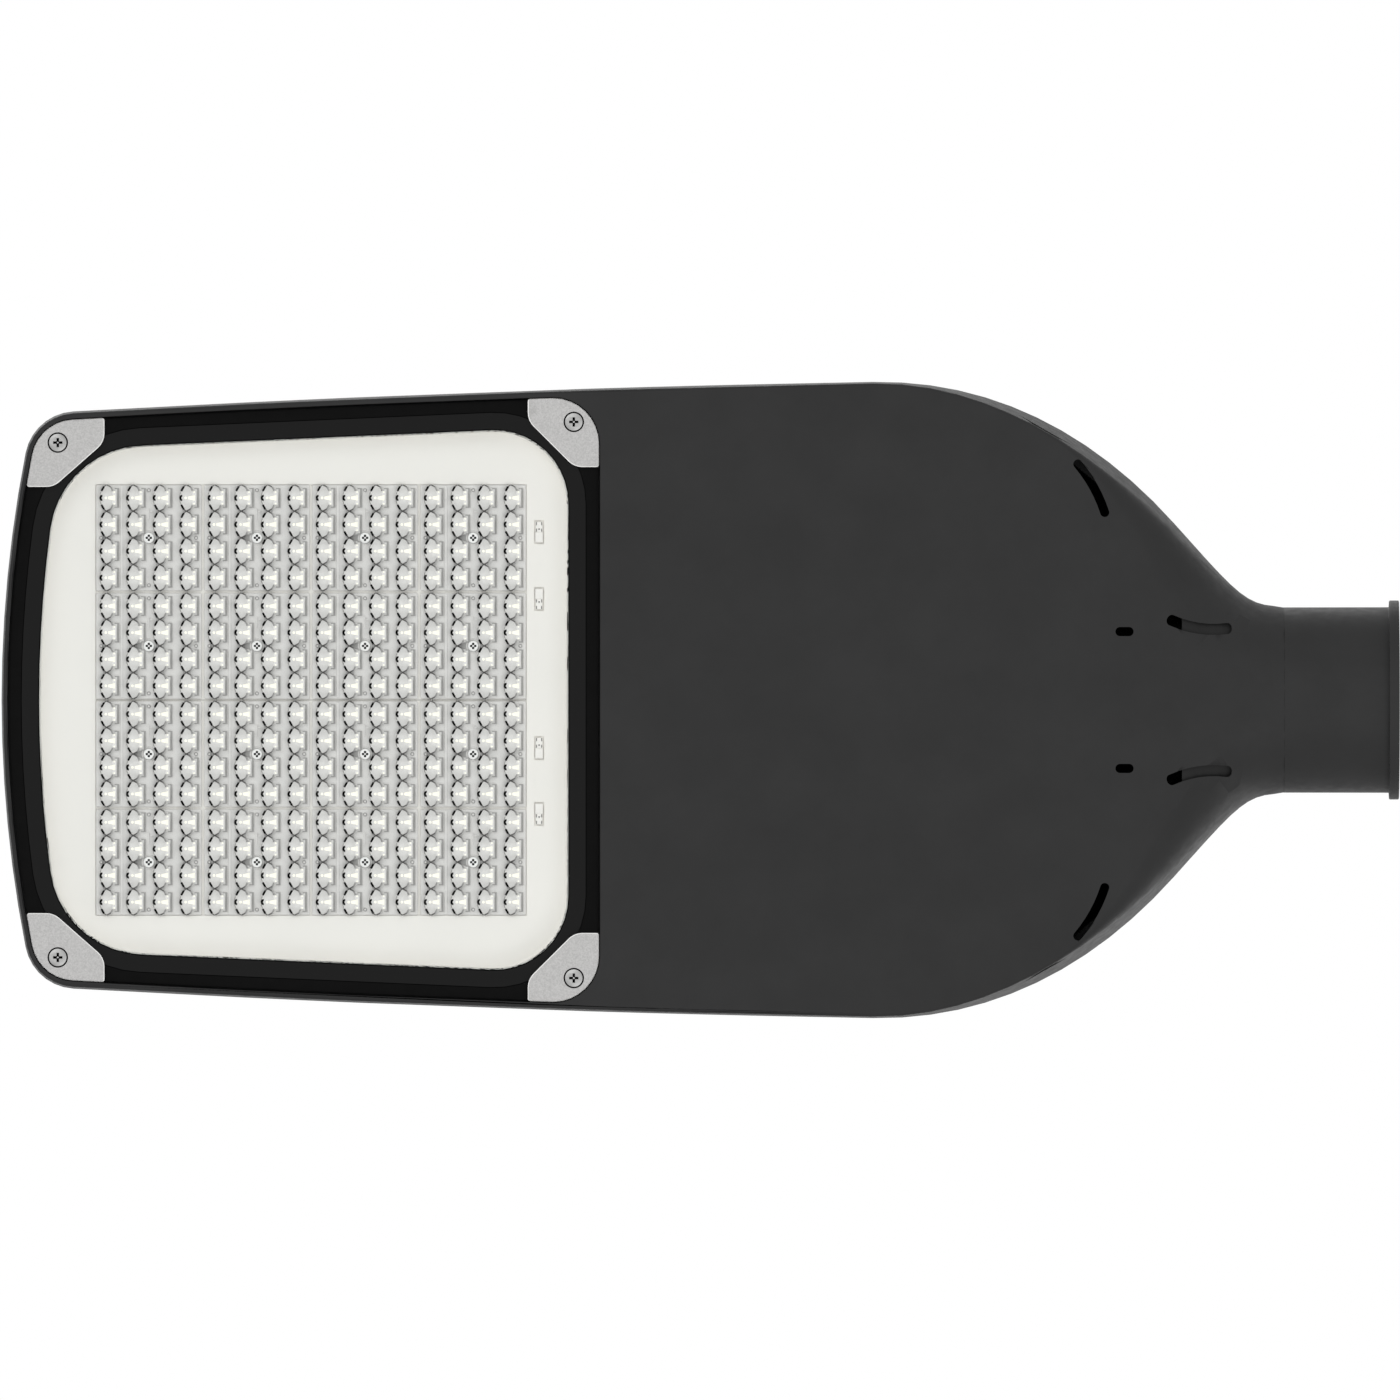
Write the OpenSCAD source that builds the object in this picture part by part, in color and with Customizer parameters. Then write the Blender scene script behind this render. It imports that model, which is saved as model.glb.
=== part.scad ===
// LED street light with a side-entry pole socket.
// The origin is the centre of the socket mouth. +X runs out along the pole, +Z is up,
// and the lamp face looks down (-Z). The body reaches to -X.

/* [Body outline] */
// Overall length from the socket mouth to the tip of the nose
body_len = 648; // [630:1:700]
// Radius of the long curve across the nose
nose_r = 595; // [450:5:800]
// Radius of the two front corners, seen from below
corner_r = 23.9; // [18:0.1:26]
// Half width of the body where the front corners end
front_half_w = 133.8; // [132:0.1:136]
// Angle by which each side opens out behind the front corner
front_flare = 3.2; // [2.8:0.1:3.6]
// Half width of the body where the shoulders begin
shoulder_half_w = 147.6; // [146:0.1:149]
// Angle by which each side still opens out where the shoulders begin
shoulder_flare = 1; // [0.5:0.1:1.5]
// Distance from the socket mouth to where the shoulders begin
shoulder_at = 244; // [240:1:252]
// Distance from the socket mouth to the middle of the straight run of the shoulder
neck_mid_at = 104.2; // [102:0.1:108]
// Half width of the body at the middle of the shoulder's straight run
neck_mid_half_w = 81.9; // [80:0.1:84]
// Angle of the shoulder's straight run to the pole axis
neck_angle = 48.2; // [46:0.1:50]
// Distance from the socket mouth to the end of the neck casting
neck_end_at = 53.3; // [51:0.1:56]

/* [Body depth] */
// Depth of the flat underside below the pole axis
face_depth = 48; // [47:0.5:52]
// Height of the top at the tip of the nose
nose_top = -7; // [-12:0.5:-3]
// Height of the top where the lamp part ends
lamp_top = 1; // [-3:0.5:3]
// Height of the top edge over the gear compartment
gfoot_top = 45; // [42:0.5:48]
// Extra height of the top along the centre line
crown = 5; // [3:0.5:7]
// Rounding of the top edge round the lamp part
lamp_edge_r = 10; // [6:0.5:12]
// Rounding of the top edge over the gear compartment
gear_edge_r = 22; // [16:0.5:26]
// Rounding of the bottom edge
face_edge_r = 1.6; // [1:0.1:2.5]
// Inward slope of the side walls below the widest line, as a distance
wall_draft = 0.9; // [0.5:0.1:1.5]
// The same slope at the back of the shoulders, where it is greatest
shoulder_draft = 4.6; // [3:0.1:5]
// Distance from the socket mouth to where the underside starts to rise
rise_at = 142.7; // [138:0.1:148]

/* [Casting] */
// Thickness of the side walls of the gear compartment
wall_t = 5; // [4:0.5:6]
// Thickness of the floor of the gear compartment and of the neck
floor_t = 4; // [3:0.5:5]
// Thickness of the plate that carries the light boards
plate_t = 5; // [4:0.5:7]
// Width of one cooling slot between the fins
slot_w = 8; // [6:0.5:9]
// Distance between the centres of neighbouring cooling slots
slot_pitch = 13; // [11:0.5:16]
// Solid margin between the silhouette and the ends of the cooling slots
slot_margin = 19; // [16:0.5:24]
// Distance from the socket mouth to the front face of the rear bulkhead
bulkhead_at = 158; // [156:0.5:164]
// Thickness of the rear bulkhead
bulkhead_t = 6; // [5:0.5:6.5]

/* [Drain slots] */
// Width of the drain slots in the underside of the neck
drain_w = 4.2; // [3:0.1:5]
// Radius of the bent slots along the shoulders
shoulder_slot_r = 66.6; // [60:0.1:72]
// Distance of their centre from the middle of the shoulder, along the light
shoulder_slot_back = 95.9; // [94:0.1:98]
// Distance of their centre from the middle of the shoulder, towards the centre line
shoulder_slot_in = 15.6; // [14:0.1:17]
// Angle at which the slots along the shoulders begin, seen from their centre
shoulder_slot_from = 40.2; // [36:0.1:44]
// Angle at which they end
shoulder_slot_to = 18; // [16:0.1:20]
// Radius of the bent slots beside the socket
socket_slot_r = 47.5; // [44:0.1:50]
// Distance of their centre from the middle of the shoulder, towards the pole
socket_slot_fore = 18; // [16:0.1:20]
// Distance of their centre from the middle of the shoulder, towards the centre line
socket_slot_in = 1.7; // [1:0.1:2.4]
// Angle at which the slots beside the socket begin, seen from their centre
socket_slot_from = 245.5; // [243:0.1:248]
// Angle at which they end
socket_slot_to = 277.6; // [275:0.1:280]
// Distance of the short slots from the centre line
short_slot_y = 31.7; // [30:0.1:34]
// Distance of the short slots from the middle of the shoulder, along the light
short_slot_back = 23.4; // [22:0.1:25]
// Length of the straight part of the short slots
short_slot_len = 4.2; // [3:0.1:6]

/* [Pole socket] */
// Radius of the bore that takes the pole spigot
bore_r = 38.5; // [36:0.1:39]
// Outer radius of the socket tube
tube_r = 43.07; // [42.5:0.01:44]
// Outer radius of the rim at the mouth
rim_r = 46.2; // [45:0.1:47.5]
// Length of the rim at the mouth
rim_len = 4.6; // [3:0.1:6]
// Depth of the socket from its mouth to the pole stop
socket_len = 98; // [96:0.5:99]
// Thickness of the pole stop ring
stop_t = 3.4; // [2:0.1:4]
// Inner radius of the pole stop ring, which the supply cable passes through
stop_r = 33; // [28:0.5:35]
// Radius of the set screws that hold the pole
set_screw_r = 5; // [4:0.5:6]
// Distance from the mouth to the outer set screw
set_screw_at = 24; // [18:0.5:28]
// Distance between the two set screws
set_screw_gap = 46; // [40:0.5:50]
// Height of the set screw bosses above the axis
set_boss_top = 52; // [50:0.5:54]

/* [Gear cover] */
// Height of the joint line between housing and gear cover
part_z = 4; // [2:0.5:6]
// Distance from the socket mouth to the front edge of the cover
cover_front_at = 354; // [350:1:356]
// Distance from the socket mouth to the back edge of the cover
cover_back_at = 106; // [105:0.5:110]
// Wall thickness of the cover
cover_t = 3; // [2.5:0.5:4]
// Thickness of the seal under the cover, as pressed
cover_seal_t = 1.5; // [1:0.1:2]
// Gap between the ends of the cover and the housing
cover_gap = 0.8; // [0.4:0.1:1.5]

/* [Lamp window] */
// Width of the rim of the housing along the sides of the lamp recess
rim_w = 3.5; // [3:0.1:4]
// How much narrower the rim is across the nose
nose_rim_less = 0.6; // [0:0.1:1]
// Distance from the socket mouth to the back edge of the lamp recess
recess_back_at = 370.6; // [368:0.1:373]
// Radius of the back corners of the lamp recess
recess_back_r = 21.6; // [20:0.1:23]
// Depth of the ledge that the window seal lies on
ledge_depth = 8; // [7.5:0.1:9]
// Distance from the tip of the nose to the front of the clear window
window_front_margin = 17.5; // [16:0.1:19]
// Radius of the front edge of the clear window
window_front_r = 602; // [500:5:700]
// Radius of the front corners of the clear window
window_corner_r = 44.3; // [42:0.1:47]
// Half width of the clear window at its front corners
window_half_w = 118; // [116:0.1:119]
// Angle by which the sides of the window open out towards the back
window_flare = 2.5; // [2.2:0.1:2.8]
// Distance from the socket mouth to the back of the clear window
window_back_at = 385.2; // [384:0.1:387]
// Radius of the back corners of the clear window
window_back_r = 34.2; // [32:0.1:36]
// Width of the dark border of the glass round the clear window
border_w = 8; // [7:0.1:8.5]
// Thickness of the glass
glass_t = 4; // [3:0.1:4.2]
// Thickness of the seal behind the glass, as pressed
glass_seal_t = 1.5; // [1:0.1:2]
// Gap between the outside of the seal and the wall of the recess
seal_wall_gap = 1; // [0.6:0.1:1.4]
// Thickness of the white reflector sheet
sheet_t = 1; // [0.6:0.1:1.2]
// Thickness of its upright edge
sheet_edge_t = 0.6; // [0.4:0.1:1]
// Thickness of the clamping flange of the corner brackets
bracket_t = 2.2; // [2:0.1:2.4]
// Gap between a corner bracket and what surrounds it
bracket_gap = 0.4; // [0.3:0.1:1]
// Radius of the outer corners of the corner brackets
bracket_corner_r = 1.2; // [0.5:0.1:2]

/* [Light boards] */
// Distance from the back of the clear window to the last lens module
field_back_gap = 19.1; // [17:0.1:21]
// Least distance from the first lens module to the front of the clear window
field_front_gap = 20; // [18:0.5:25]
// Number of lens modules across the lamp
module_rows = 4; // [2:2:4]
// Distance between the centres of neighbouring lens modules
module_pitch = 50.1; // [50:0.1:51]
// Side length of one square lens module
module_size = 48.9; // [48.5:0.1:49.8]
// Number of lenses along each side of a module
lens_count = 4; // [3:1:4]
// Distance between the centres of neighbouring lenses
lens_pitch = 12.33; // [12.2:0.01:12.4]
// Distance of the grid of lenses from the middle of its module, towards the nose
lens_shift = 0.9; // [0:0.1:1]
// Half width of one long lens
lens_half_w = 3.5; // [3.2:0.1:3.7]
// Radius of the two bent sides and of the dome of a lens
lens_arc_r = 8; // [7.5:0.1:8.5]
// Height of one dome above the base of its module
lens_h = 5; // [4.5:0.1:5.4]
// Thickness of the base of a lens module
lens_base_t = 1.6; // [1.4:0.1:2]
// Height of the prisms that stand beside each column of lenses
prism_h = 4.4; // [3:0.1:4.5]
// Thickness of a prism at its foot
prism_t = 1.8; // [1.5:0.1:2]
// Thickness of a light board
board_t = 1.6; // [1:0.1:2]
// Gap between the lens domes and the inside of the glass
lens_gap = 2; // [1:0.1:3]
// Side length of one square light source
chip_size = 3; // [2.8:0.1:3.5]
// Height of one light source
chip_h = 0.7; // [0.5:0.1:1]

/* [Control gear] */
// Length of the driver, across the body
driver_len = 219; // [180:1:222]
// Width of the driver, along the body
driver_w = 69; // [60:1:72]
// Height of the driver
driver_h = 39; // [30:1:44]
// Distance from the socket mouth to the centre of the driver
driver_at = 300; // [298:1:304]
// Radius of the cable gland's thread in the bulkhead
gland_r = 10; // [8:0.5:11]

/* [Screws] */
// Radius of the clamp screws in the corner brackets
bracket_screw_r = 2.5; // [2:0.1:3]
// Radius of the flush heads of the clamp screws
bracket_head_r = 4.4; // [4:0.05:5]
// Radius of the screws that hold the cover
cover_screw_r = 2.5; // [2:0.1:3]
// Radius of the heads of the cover screws
cover_head_r = 4.4; // [4:0.1:4.8]
// Clearance of a screw in the hole that it passes through, on the radius
screw_gap = 0.3; // [0.2:0.05:0.5]
// Radius of the small screws on the light boards and the control gear
small_screw_r = 1.5; // [1.2:0.1:1.8]
// Radius of the heads of the small screws
small_head_r = 2.6; // [2.2:0.1:2.65]
// Height of the heads of the small screws
small_head_h = 1.8; // [1.4:0.1:2]
// Height of the heads of the cover screws
cover_head_h = 4.6; // [4:0.1:5]
// Length of the cover screws under the head
cover_screw_len = 20; // [16:1:24]
// Length of the clamp screws
clamp_screw_len = 15; // [12:1:16]
// Length of the screws that hold the control gear, under the head
gear_screw_len = 9; // [8:0.5:10]

/* [Hidden] */
window_front_at = body_len - window_front_margin;
// Number of lens modules along the lamp, as many as the window has room for
module_cols = floor((window_front_at - window_back_at - field_back_gap - field_front_gap) / module_pitch);
// Distance from the socket mouth to the centre of the field of lenses
field_at = window_back_at + field_back_gap + module_cols * module_pitch / 2;

// Smoothness of exact round shapes
$fn = 48;
// Overlap that makes a cut or a joint clean
eps = 0.5;
// Tall enough to cut through the whole body
through = 200;

// Clearance round a piece that sits in a cut-out
fit_gap = 0.3;

// Angles of the points round each rounded edge, spaced so that two edges make a full ring
edge_steps = 6;
edge_angles = [for (i = [0:edge_steps - 1]) 7.5 + 15 * i];
sin_cap = sin(82.5);
// The end of the neck casting stands just proud of the socket tube
neck_end_r = tube_r + 0.45;
// Spans across the crowned top
crown_spans = 4;
// Height of the widest line of the side, as a share of the depth there
widest_share = 0.52;

// Heights, all measured from the pole axis
face_z = -face_depth;
ledge_z = face_z + ledge_depth;
glass_top_z = ledge_z - glass_seal_t;
glass_face_z = glass_top_z - glass_t;
lens_tip_z = glass_top_z + lens_gap;
board_face_z = lens_tip_z + lens_h + lens_base_t;
plate_z = board_face_z + board_t;
plate_top_z = plate_z + plate_t;
floor_z = face_z + floor_t;

// Plan of the body: nose arc, front corner, side, shoulder and neck
nose_centre = [nose_r - body_len, 0];
corner_y = front_half_w - corner_r * cos(front_flare);
corner_x = nose_centre.x - sqrt(pow(nose_r - corner_r, 2) - corner_y * corner_y);
corner_start = atan2(corner_y, corner_x - nose_centre.x);
side_start = [corner_x - corner_r * sin(front_flare), front_half_w];
shoulder_start = [-shoulder_at, shoulder_half_w];
neck_mid = [-neck_mid_at, neck_mid_half_w];
neck_end = [-neck_end_at, neck_end_r];
side_run = shoulder_start.x - side_start.x;
shoulder_run = neck_mid.x - shoulder_start.x;
neck_run = neck_end.x - neck_mid.x;

function direction(a) = [cos(a), sin(a)];
function unit(v) = v / norm(v);
function arc(centre, r, from, to, steps) =
    [for (i = [0:steps]) centre + r * direction(from + (to - from) * i / steps)];
function bezier_at(a, b, c, d, t) =
    pow(1 - t, 3) * a + 3 * t * pow(1 - t, 2) * b + 3 * t * t * (1 - t) * c + pow(t, 3) * d;
// A curve from a to d that leaves a at one angle and meets d at another
function blend(a, a_angle, a_pull, d, d_angle, d_pull, steps) =
    [for (i = [1:steps])
        bezier_at(a, a + a_pull * direction(a_angle), d - d_pull * direction(d_angle), d, i / steps)];
function mirrored(half) =
    concat(half, [for (i = [len(half) - 1:-1:0]) if (half[i].y > 0.001) [half[i].x, -half[i].y]]);
function smooth(x, from, to) =
    let (t = min(1, max(0, (x - from) / (to - from)))) t * t * (3 - 2 * t);
function mix(a, b, t) = a + (b - a) * t;

half_plan = concat(
    arc(nose_centre, nose_r, 180, corner_start, 6),
    [for (i = [1:7])
        [corner_x, corner_y]
            + corner_r * direction(mix(corner_start, 90 + front_flare, i / 7))],
    blend(side_start, front_flare, side_run / 3, shoulder_start, shoulder_flare, side_run / 3, 14),
    blend(shoulder_start, shoulder_flare, 0.39 * shoulder_run,
          neck_mid, -neck_angle, 0.41 * shoulder_run, 12),
    blend(neck_mid, -neck_angle, 0.9 * neck_run, neck_end, 0, 0.34 * neck_run, 10)
);
plan_last = len(half_plan) - 1;
// Inward direction at each point of the plan
half_inward = [for (i = [0:plan_last])
    i == 0 ? [1, 0] : i == plan_last ? [0, -1] :
        let (along = unit(unit(half_plan[i] - half_plan[i - 1]) + unit(half_plan[i + 1] - half_plan[i])))
            [along.y, -along.x]];
function half_inset(d) = [for (i = [0:plan_last]) half_plan[i] + d * half_inward[i]];
// Plan of the hollow inside a wall of thickness d, upright behind the sloping outer wall.
// A share of the bottom rounding is left standing as well, where the hollow reaches low.
function half_hollow(d, share = 0) =
    [for (i = [0:plan_last])
        let (x = half_plan[i].x)
            half_plan[i] + (d + draft_at(x) + share * bottom_r_at(x)) * half_inward[i]];
// Half width of the plan, inset by d, at a given x behind the front corners
function width_at(x, d) =
    lookup(x, [for (p = half_inset(d)) if (p.x > side_start.x + corner_r) [p.x, p.y]]);

// Side profile: the lamp part is slim, a smooth ramp leads up to the gear compartment
ramp_from = -cover_front_at - 24;
ramp_to = -cover_front_at + 66;
neck_from = -cover_back_at - 74;
function top_at(x) =
    x < ramp_from ? mix(nose_top, lamp_top, smooth(x, -body_len, ramp_from))
    : x < neck_from ? mix(lamp_top, gfoot_top, smooth(x, ramp_from, ramp_to))
    : mix(gfoot_top, neck_end_r * sin_cap, smooth(x, neck_from, neck_end.x));
function bottom_at(x) =
    x < -rise_at ? face_z : mix(face_z, -neck_end_r * sin_cap, (x + rise_at) / (rise_at - neck_end_at));
function crown_at(x) =
    crown * (0.6 + 0.4 * smooth(x, ramp_from, ramp_to)) * (1 - smooth(x, neck_from, neck_end.x));
function top_r_at(x) =
    x < neck_from ? mix(lamp_edge_r, gear_edge_r, smooth(x, ramp_from, ramp_to))
    : mix(gear_edge_r, neck_end_r, smooth(x, neck_from, neck_end.x));
function bottom_r_at(x) = mix(face_edge_r, neck_end_r, pow(smooth(x, -rise_at - 30, neck_end.x), 1.5));
function draft_at(x) =
    x < -rise_at ? mix(wall_draft, shoulder_draft, smooth(x, -shoulder_at, -rise_at))
    : mix(shoulder_draft, 0, smooth(x, -rise_at, neck_end.x));

// Closed skin of the whole body, moved inwards by d: a loft of profiles round the plan
module body_skin(d = 0) {
    rings = half_inset(d);
    // Point j of the profile at point i of the plan: bottom rounding, side, then top rounding
    function profile_point(i, j) =
        let (x0 = half_plan[i].x,
             lower = j < edge_steps,
             middle = j == edge_steps,
             r_low = max(0.4, bottom_r_at(x0) - d),
             r_top = max(0.4, top_r_at(x0) - d),
             a = lower ? edge_angles[edge_steps - 1 - j] : middle ? 0 : edge_angles[j - edge_steps - 1],
             inward = lower ? draft_at(x0) + r_low * (1 - cos(a))
                 : middle ? 0 : draft_at(x0) / 2 + r_top * (1 - cos(a)),
             p = rings[i] + inward * half_inward[i],
             low = bottom_at(p.x) + d,
             high = top_at(p.x) - d,
             z = lower ? low + r_low * (sin_cap - sin(a))
                 : middle ? mix(low, high, widest_share) : high - r_top * (sin_cap - sin(a)))
        [p.x, p.y, z];
    ring_len = 2 * edge_steps + 1;
    top_j = ring_len - 1;
    stations = 2 * plan_last + 1;
    side_points = [for (k = [0:stations - 1]) for (j = [0:top_j])
        let (p = profile_point(abs(k - plan_last), j)) [p.x, k <= plan_last ? p.y : -p.y, p.z]];
    crown_points = [for (i = [1:plan_last]) for (m = [1:crown_spans - 1])
        let (p = profile_point(i, top_j), u = 1 - 2 * m / crown_spans)
            [p.x, u * p.y, p.z + crown_at(p.x) * (1 - u * u) * min(1, p.y / 60)]];
    function side(k, j) = k * ring_len + j;
    function cap(i, m) =
        m == 0 ? side(plan_last - i, top_j) : m == crown_spans ? side(plan_last + i, top_j)
        : stations * ring_len + (i - 1) * (crown_spans - 1) + m - 1;
    walls = [for (k = [0:stations - 2]) for (j = [0:top_j - 1])
        [side(k, j), side(k, j + 1), side(k + 1, j + 1), side(k + 1, j)]];
    bottom = [for (i = [1:plan_last - 1]) let (left = plan_last - i, right = plan_last + i)
        [side(left - 1, 0), side(left, 0), side(right, 0), side(right + 1, 0)]];
    bottom_tip = [[side(plan_last - 1, 0), side(plan_last, 0), side(plan_last + 1, 0)]];
    top = [for (i = [1:plan_last - 1]) for (m = [0:crown_spans - 1])
        [cap(i, m), cap(i + 1, m), cap(i + 1, m + 1), cap(i, m + 1)]];
    top_tip = [for (m = [0:crown_spans - 1]) [side(plan_last, top_j), cap(1, m), cap(1, m + 1)]];
    end_cap = [concat(
        [for (j = [0:top_j]) side(2 * plan_last, j)],
        [for (m = [crown_spans - 1:-1:1]) cap(plan_last, m)],
        [for (j = [top_j:-1:0]) side(0, j)])];
    polyhedron(concat(side_points, crown_points),
               concat(walls, bottom, bottom_tip, top, top_tip, end_cap), convexity = 6);
}

// A cylinder along X from one x to another
module along_x(r, from, to) {
    translate([from, 0, 0]) rotate([0, 90, 0]) cylinder(r = r, h = to - from);
}

// A block between two corners
module block(low, high) {
    translate(low) cube(high - low);
}

// Copies something to both sides of the centre line
module both_sides() {
    children();
    mirror([0, 1, 0]) children();
}

// A plan between two x
module plan_between(half, from, to) {
    intersection() {
        polygon(mirrored(half));
        translate([from, -through]) square([to - from, 2 * through]);
    }
}

// Lamp recess: the plan inside the rim, closed by a rounded back edge
function recess_half(d) =
    let (r = recess_back_r - d, x = -recess_back_at - recess_back_r,
         y = width_at(x, rim_w) - recess_back_r)
    concat([for (p = half_inset(rim_w + d)) if (p.x < x) p - [nose_rim_less, 0]],
           arc([x, y], r, 90, 0, 8));

// Clear window, or the glass when grown by its border
function window_half(grow) =
    let (nose = [window_front_r - window_front_at, 0],
         front_r = window_corner_r + grow, back_r = window_back_r + grow,
         cy = window_half_w - window_corner_r,
         cx = nose.x - sqrt(pow(window_front_r - window_corner_r, 2) - cy * cy),
         turn = atan2(cy, cx - nose.x),
         bx = -window_back_at - window_back_r,
         by = cy + (bx - cx) * tan(window_flare) + (window_corner_r - window_back_r) / cos(window_flare))
    concat(arc(nose, window_front_r + grow, 180, turn, 5),
           arc([cx, cy], front_r, turn, 90 + window_flare, 9),
           arc([bx, by], back_r, 90 + window_flare, 0, 10));

// Drain slots in the underside of the neck, as plan shapes
module bent_slot(centre, r, from, to) {
    outer = arc(centre, r + drain_w / 2, from, to, 6);
    inner = arc(centre, r - drain_w / 2, to, from, 6);
    polygon(concat(outer, inner));
    for (a = [from, to]) translate(centre + r * direction(a)) circle(r = drain_w / 2);
}

module straight_slot(start, length) {
    translate(start) circle(r = drain_w / 2);
    translate(start + [length, 0]) circle(r = drain_w / 2);
    translate(start - [0, drain_w / 2]) square([length, drain_w]);
}

module drain_slots() {
    bent_slot(neck_mid - [shoulder_slot_back, shoulder_slot_in], shoulder_slot_r,
              shoulder_slot_from, shoulder_slot_to);
    bent_slot(neck_mid + [socket_slot_fore, -socket_slot_in], socket_slot_r,
              socket_slot_from, socket_slot_to);
    straight_slot([neck_mid.x - short_slot_back - short_slot_len / 2, short_slot_y], short_slot_len);
}

// Cooling slots: open between the fins, with round ends
slot_rows = floor((width_at(-body_len / 2, 0) - slot_margin) / slot_pitch);
slot_back = -cover_front_at - 9;
outer_slot_short = 30;
module cooling_slot(y) {
    near_edge = abs(y) + slot_w / 2;
    reach = nose_r - slot_margin;
    tip = nose_centre.x - sqrt(reach * reach - near_edge * near_edge);
    corner_clear = near_edge > corner_y - 8 ? side_start.x + slot_margin : tip;
    start = max(tip, corner_clear) + slot_w / 2;
    outermost = near_edge > width_at(-recess_back_at, 0) - outer_slot_short;
    stop = slot_back - (outermost ? outer_slot_short : slot_w / 2);
    translate([0, 0, plate_top_z]) linear_extrude(through) {
        translate([start, y]) circle(r = slot_w / 2);
        translate([stop, y]) circle(r = slot_w / 2);
        translate([start, y - slot_w / 2]) square([stop - start, slot_w]);
    }
}

// Places of the clamp screws of the corner brackets, on the +Y side
front_clamp = [corner_x - 8.3, corner_y + 9.3];
back_clamp = [-recess_back_at - 12.1, width_at(-recess_back_at - 12.1, 0) - 15.3];
module at_clamps() {
    both_sides() {
        translate(front_clamp) children();
        translate(back_clamp) children();
    }
}

// Places of the cover screws
cover_boss_r = 7;
cover_boss_inset = wall_t + 6;
cover_screw_xs = [-cover_front_at + 14, -shoulder_at - 4, -bulkhead_at - 10];
module at_cover_screws() {
    both_sides() for (x = cover_screw_xs) translate([x, width_at(x, cover_boss_inset)]) children();
}
cover_rim_z = part_z + cover_seal_t;
cover_seat_z = cover_rim_z + 4;

// Hollow of the neck: a stepped pocket before the socket tube, and one on each side below the tube
neck_floor_z = floor_z + 1.5;
neck_step = 9;
pocket_back = -cover_back_at - 1.5;
// Share of the bottom rounding that is left standing at each step
neck_shares = [0.6, 0.3, 0];
neck_side_in = 16;
neck_side_out = 39.2;
neck_side_z = -31;
neck_side_at = 77.8;

// Heights and places of the control gear
gear_front = -cover_front_at + wall_t;
gear_back = -bulkhead_at;
pocket_front = gear_back + bulkhead_t;
gland_z = part_z - gland_r - 8;
driver_foot = 12;
driver_screw_y = driver_len / 2 - driver_foot / 2;
driver_screw_x = driver_w / 2 - 10;
// Thickness of the feet and ears of the control gear
foot_t = 3;
standoff_h = 5;
surge_size = [54, 34, 26];
surge_at = [-212, 62];
terminal_size = [30, 46, 22];
terminal_at = [-200, -8];
earth_at = [-196, -66];
vent_at = [pocket_front, 46, gland_z];
vent_r = 6;
lead_hole_r = 4;
lead_hole_z = plate_z - 2.9;

module at_driver_screws() {
    for (sx = [-1, 1]) for (sy = [-1, 1])
        translate([-driver_at + sx * driver_screw_x, sy * driver_screw_y]) children();
}

module at_gear_screws() {
    for (sx = [-1, 1]) translate(surge_at + [sx * (surge_size.x / 2 - 4), 0]) children();
    for (sy = [-1, 1]) translate(terminal_at + [0, sy * (terminal_size.y / 2 - 4)]) children();
}

// Set screws stand on top of the socket tube
module at_set_screws() {
    for (x = [-set_screw_at, -set_screw_at - set_screw_gap]) translate([x, 0, 0]) children();
}

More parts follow.
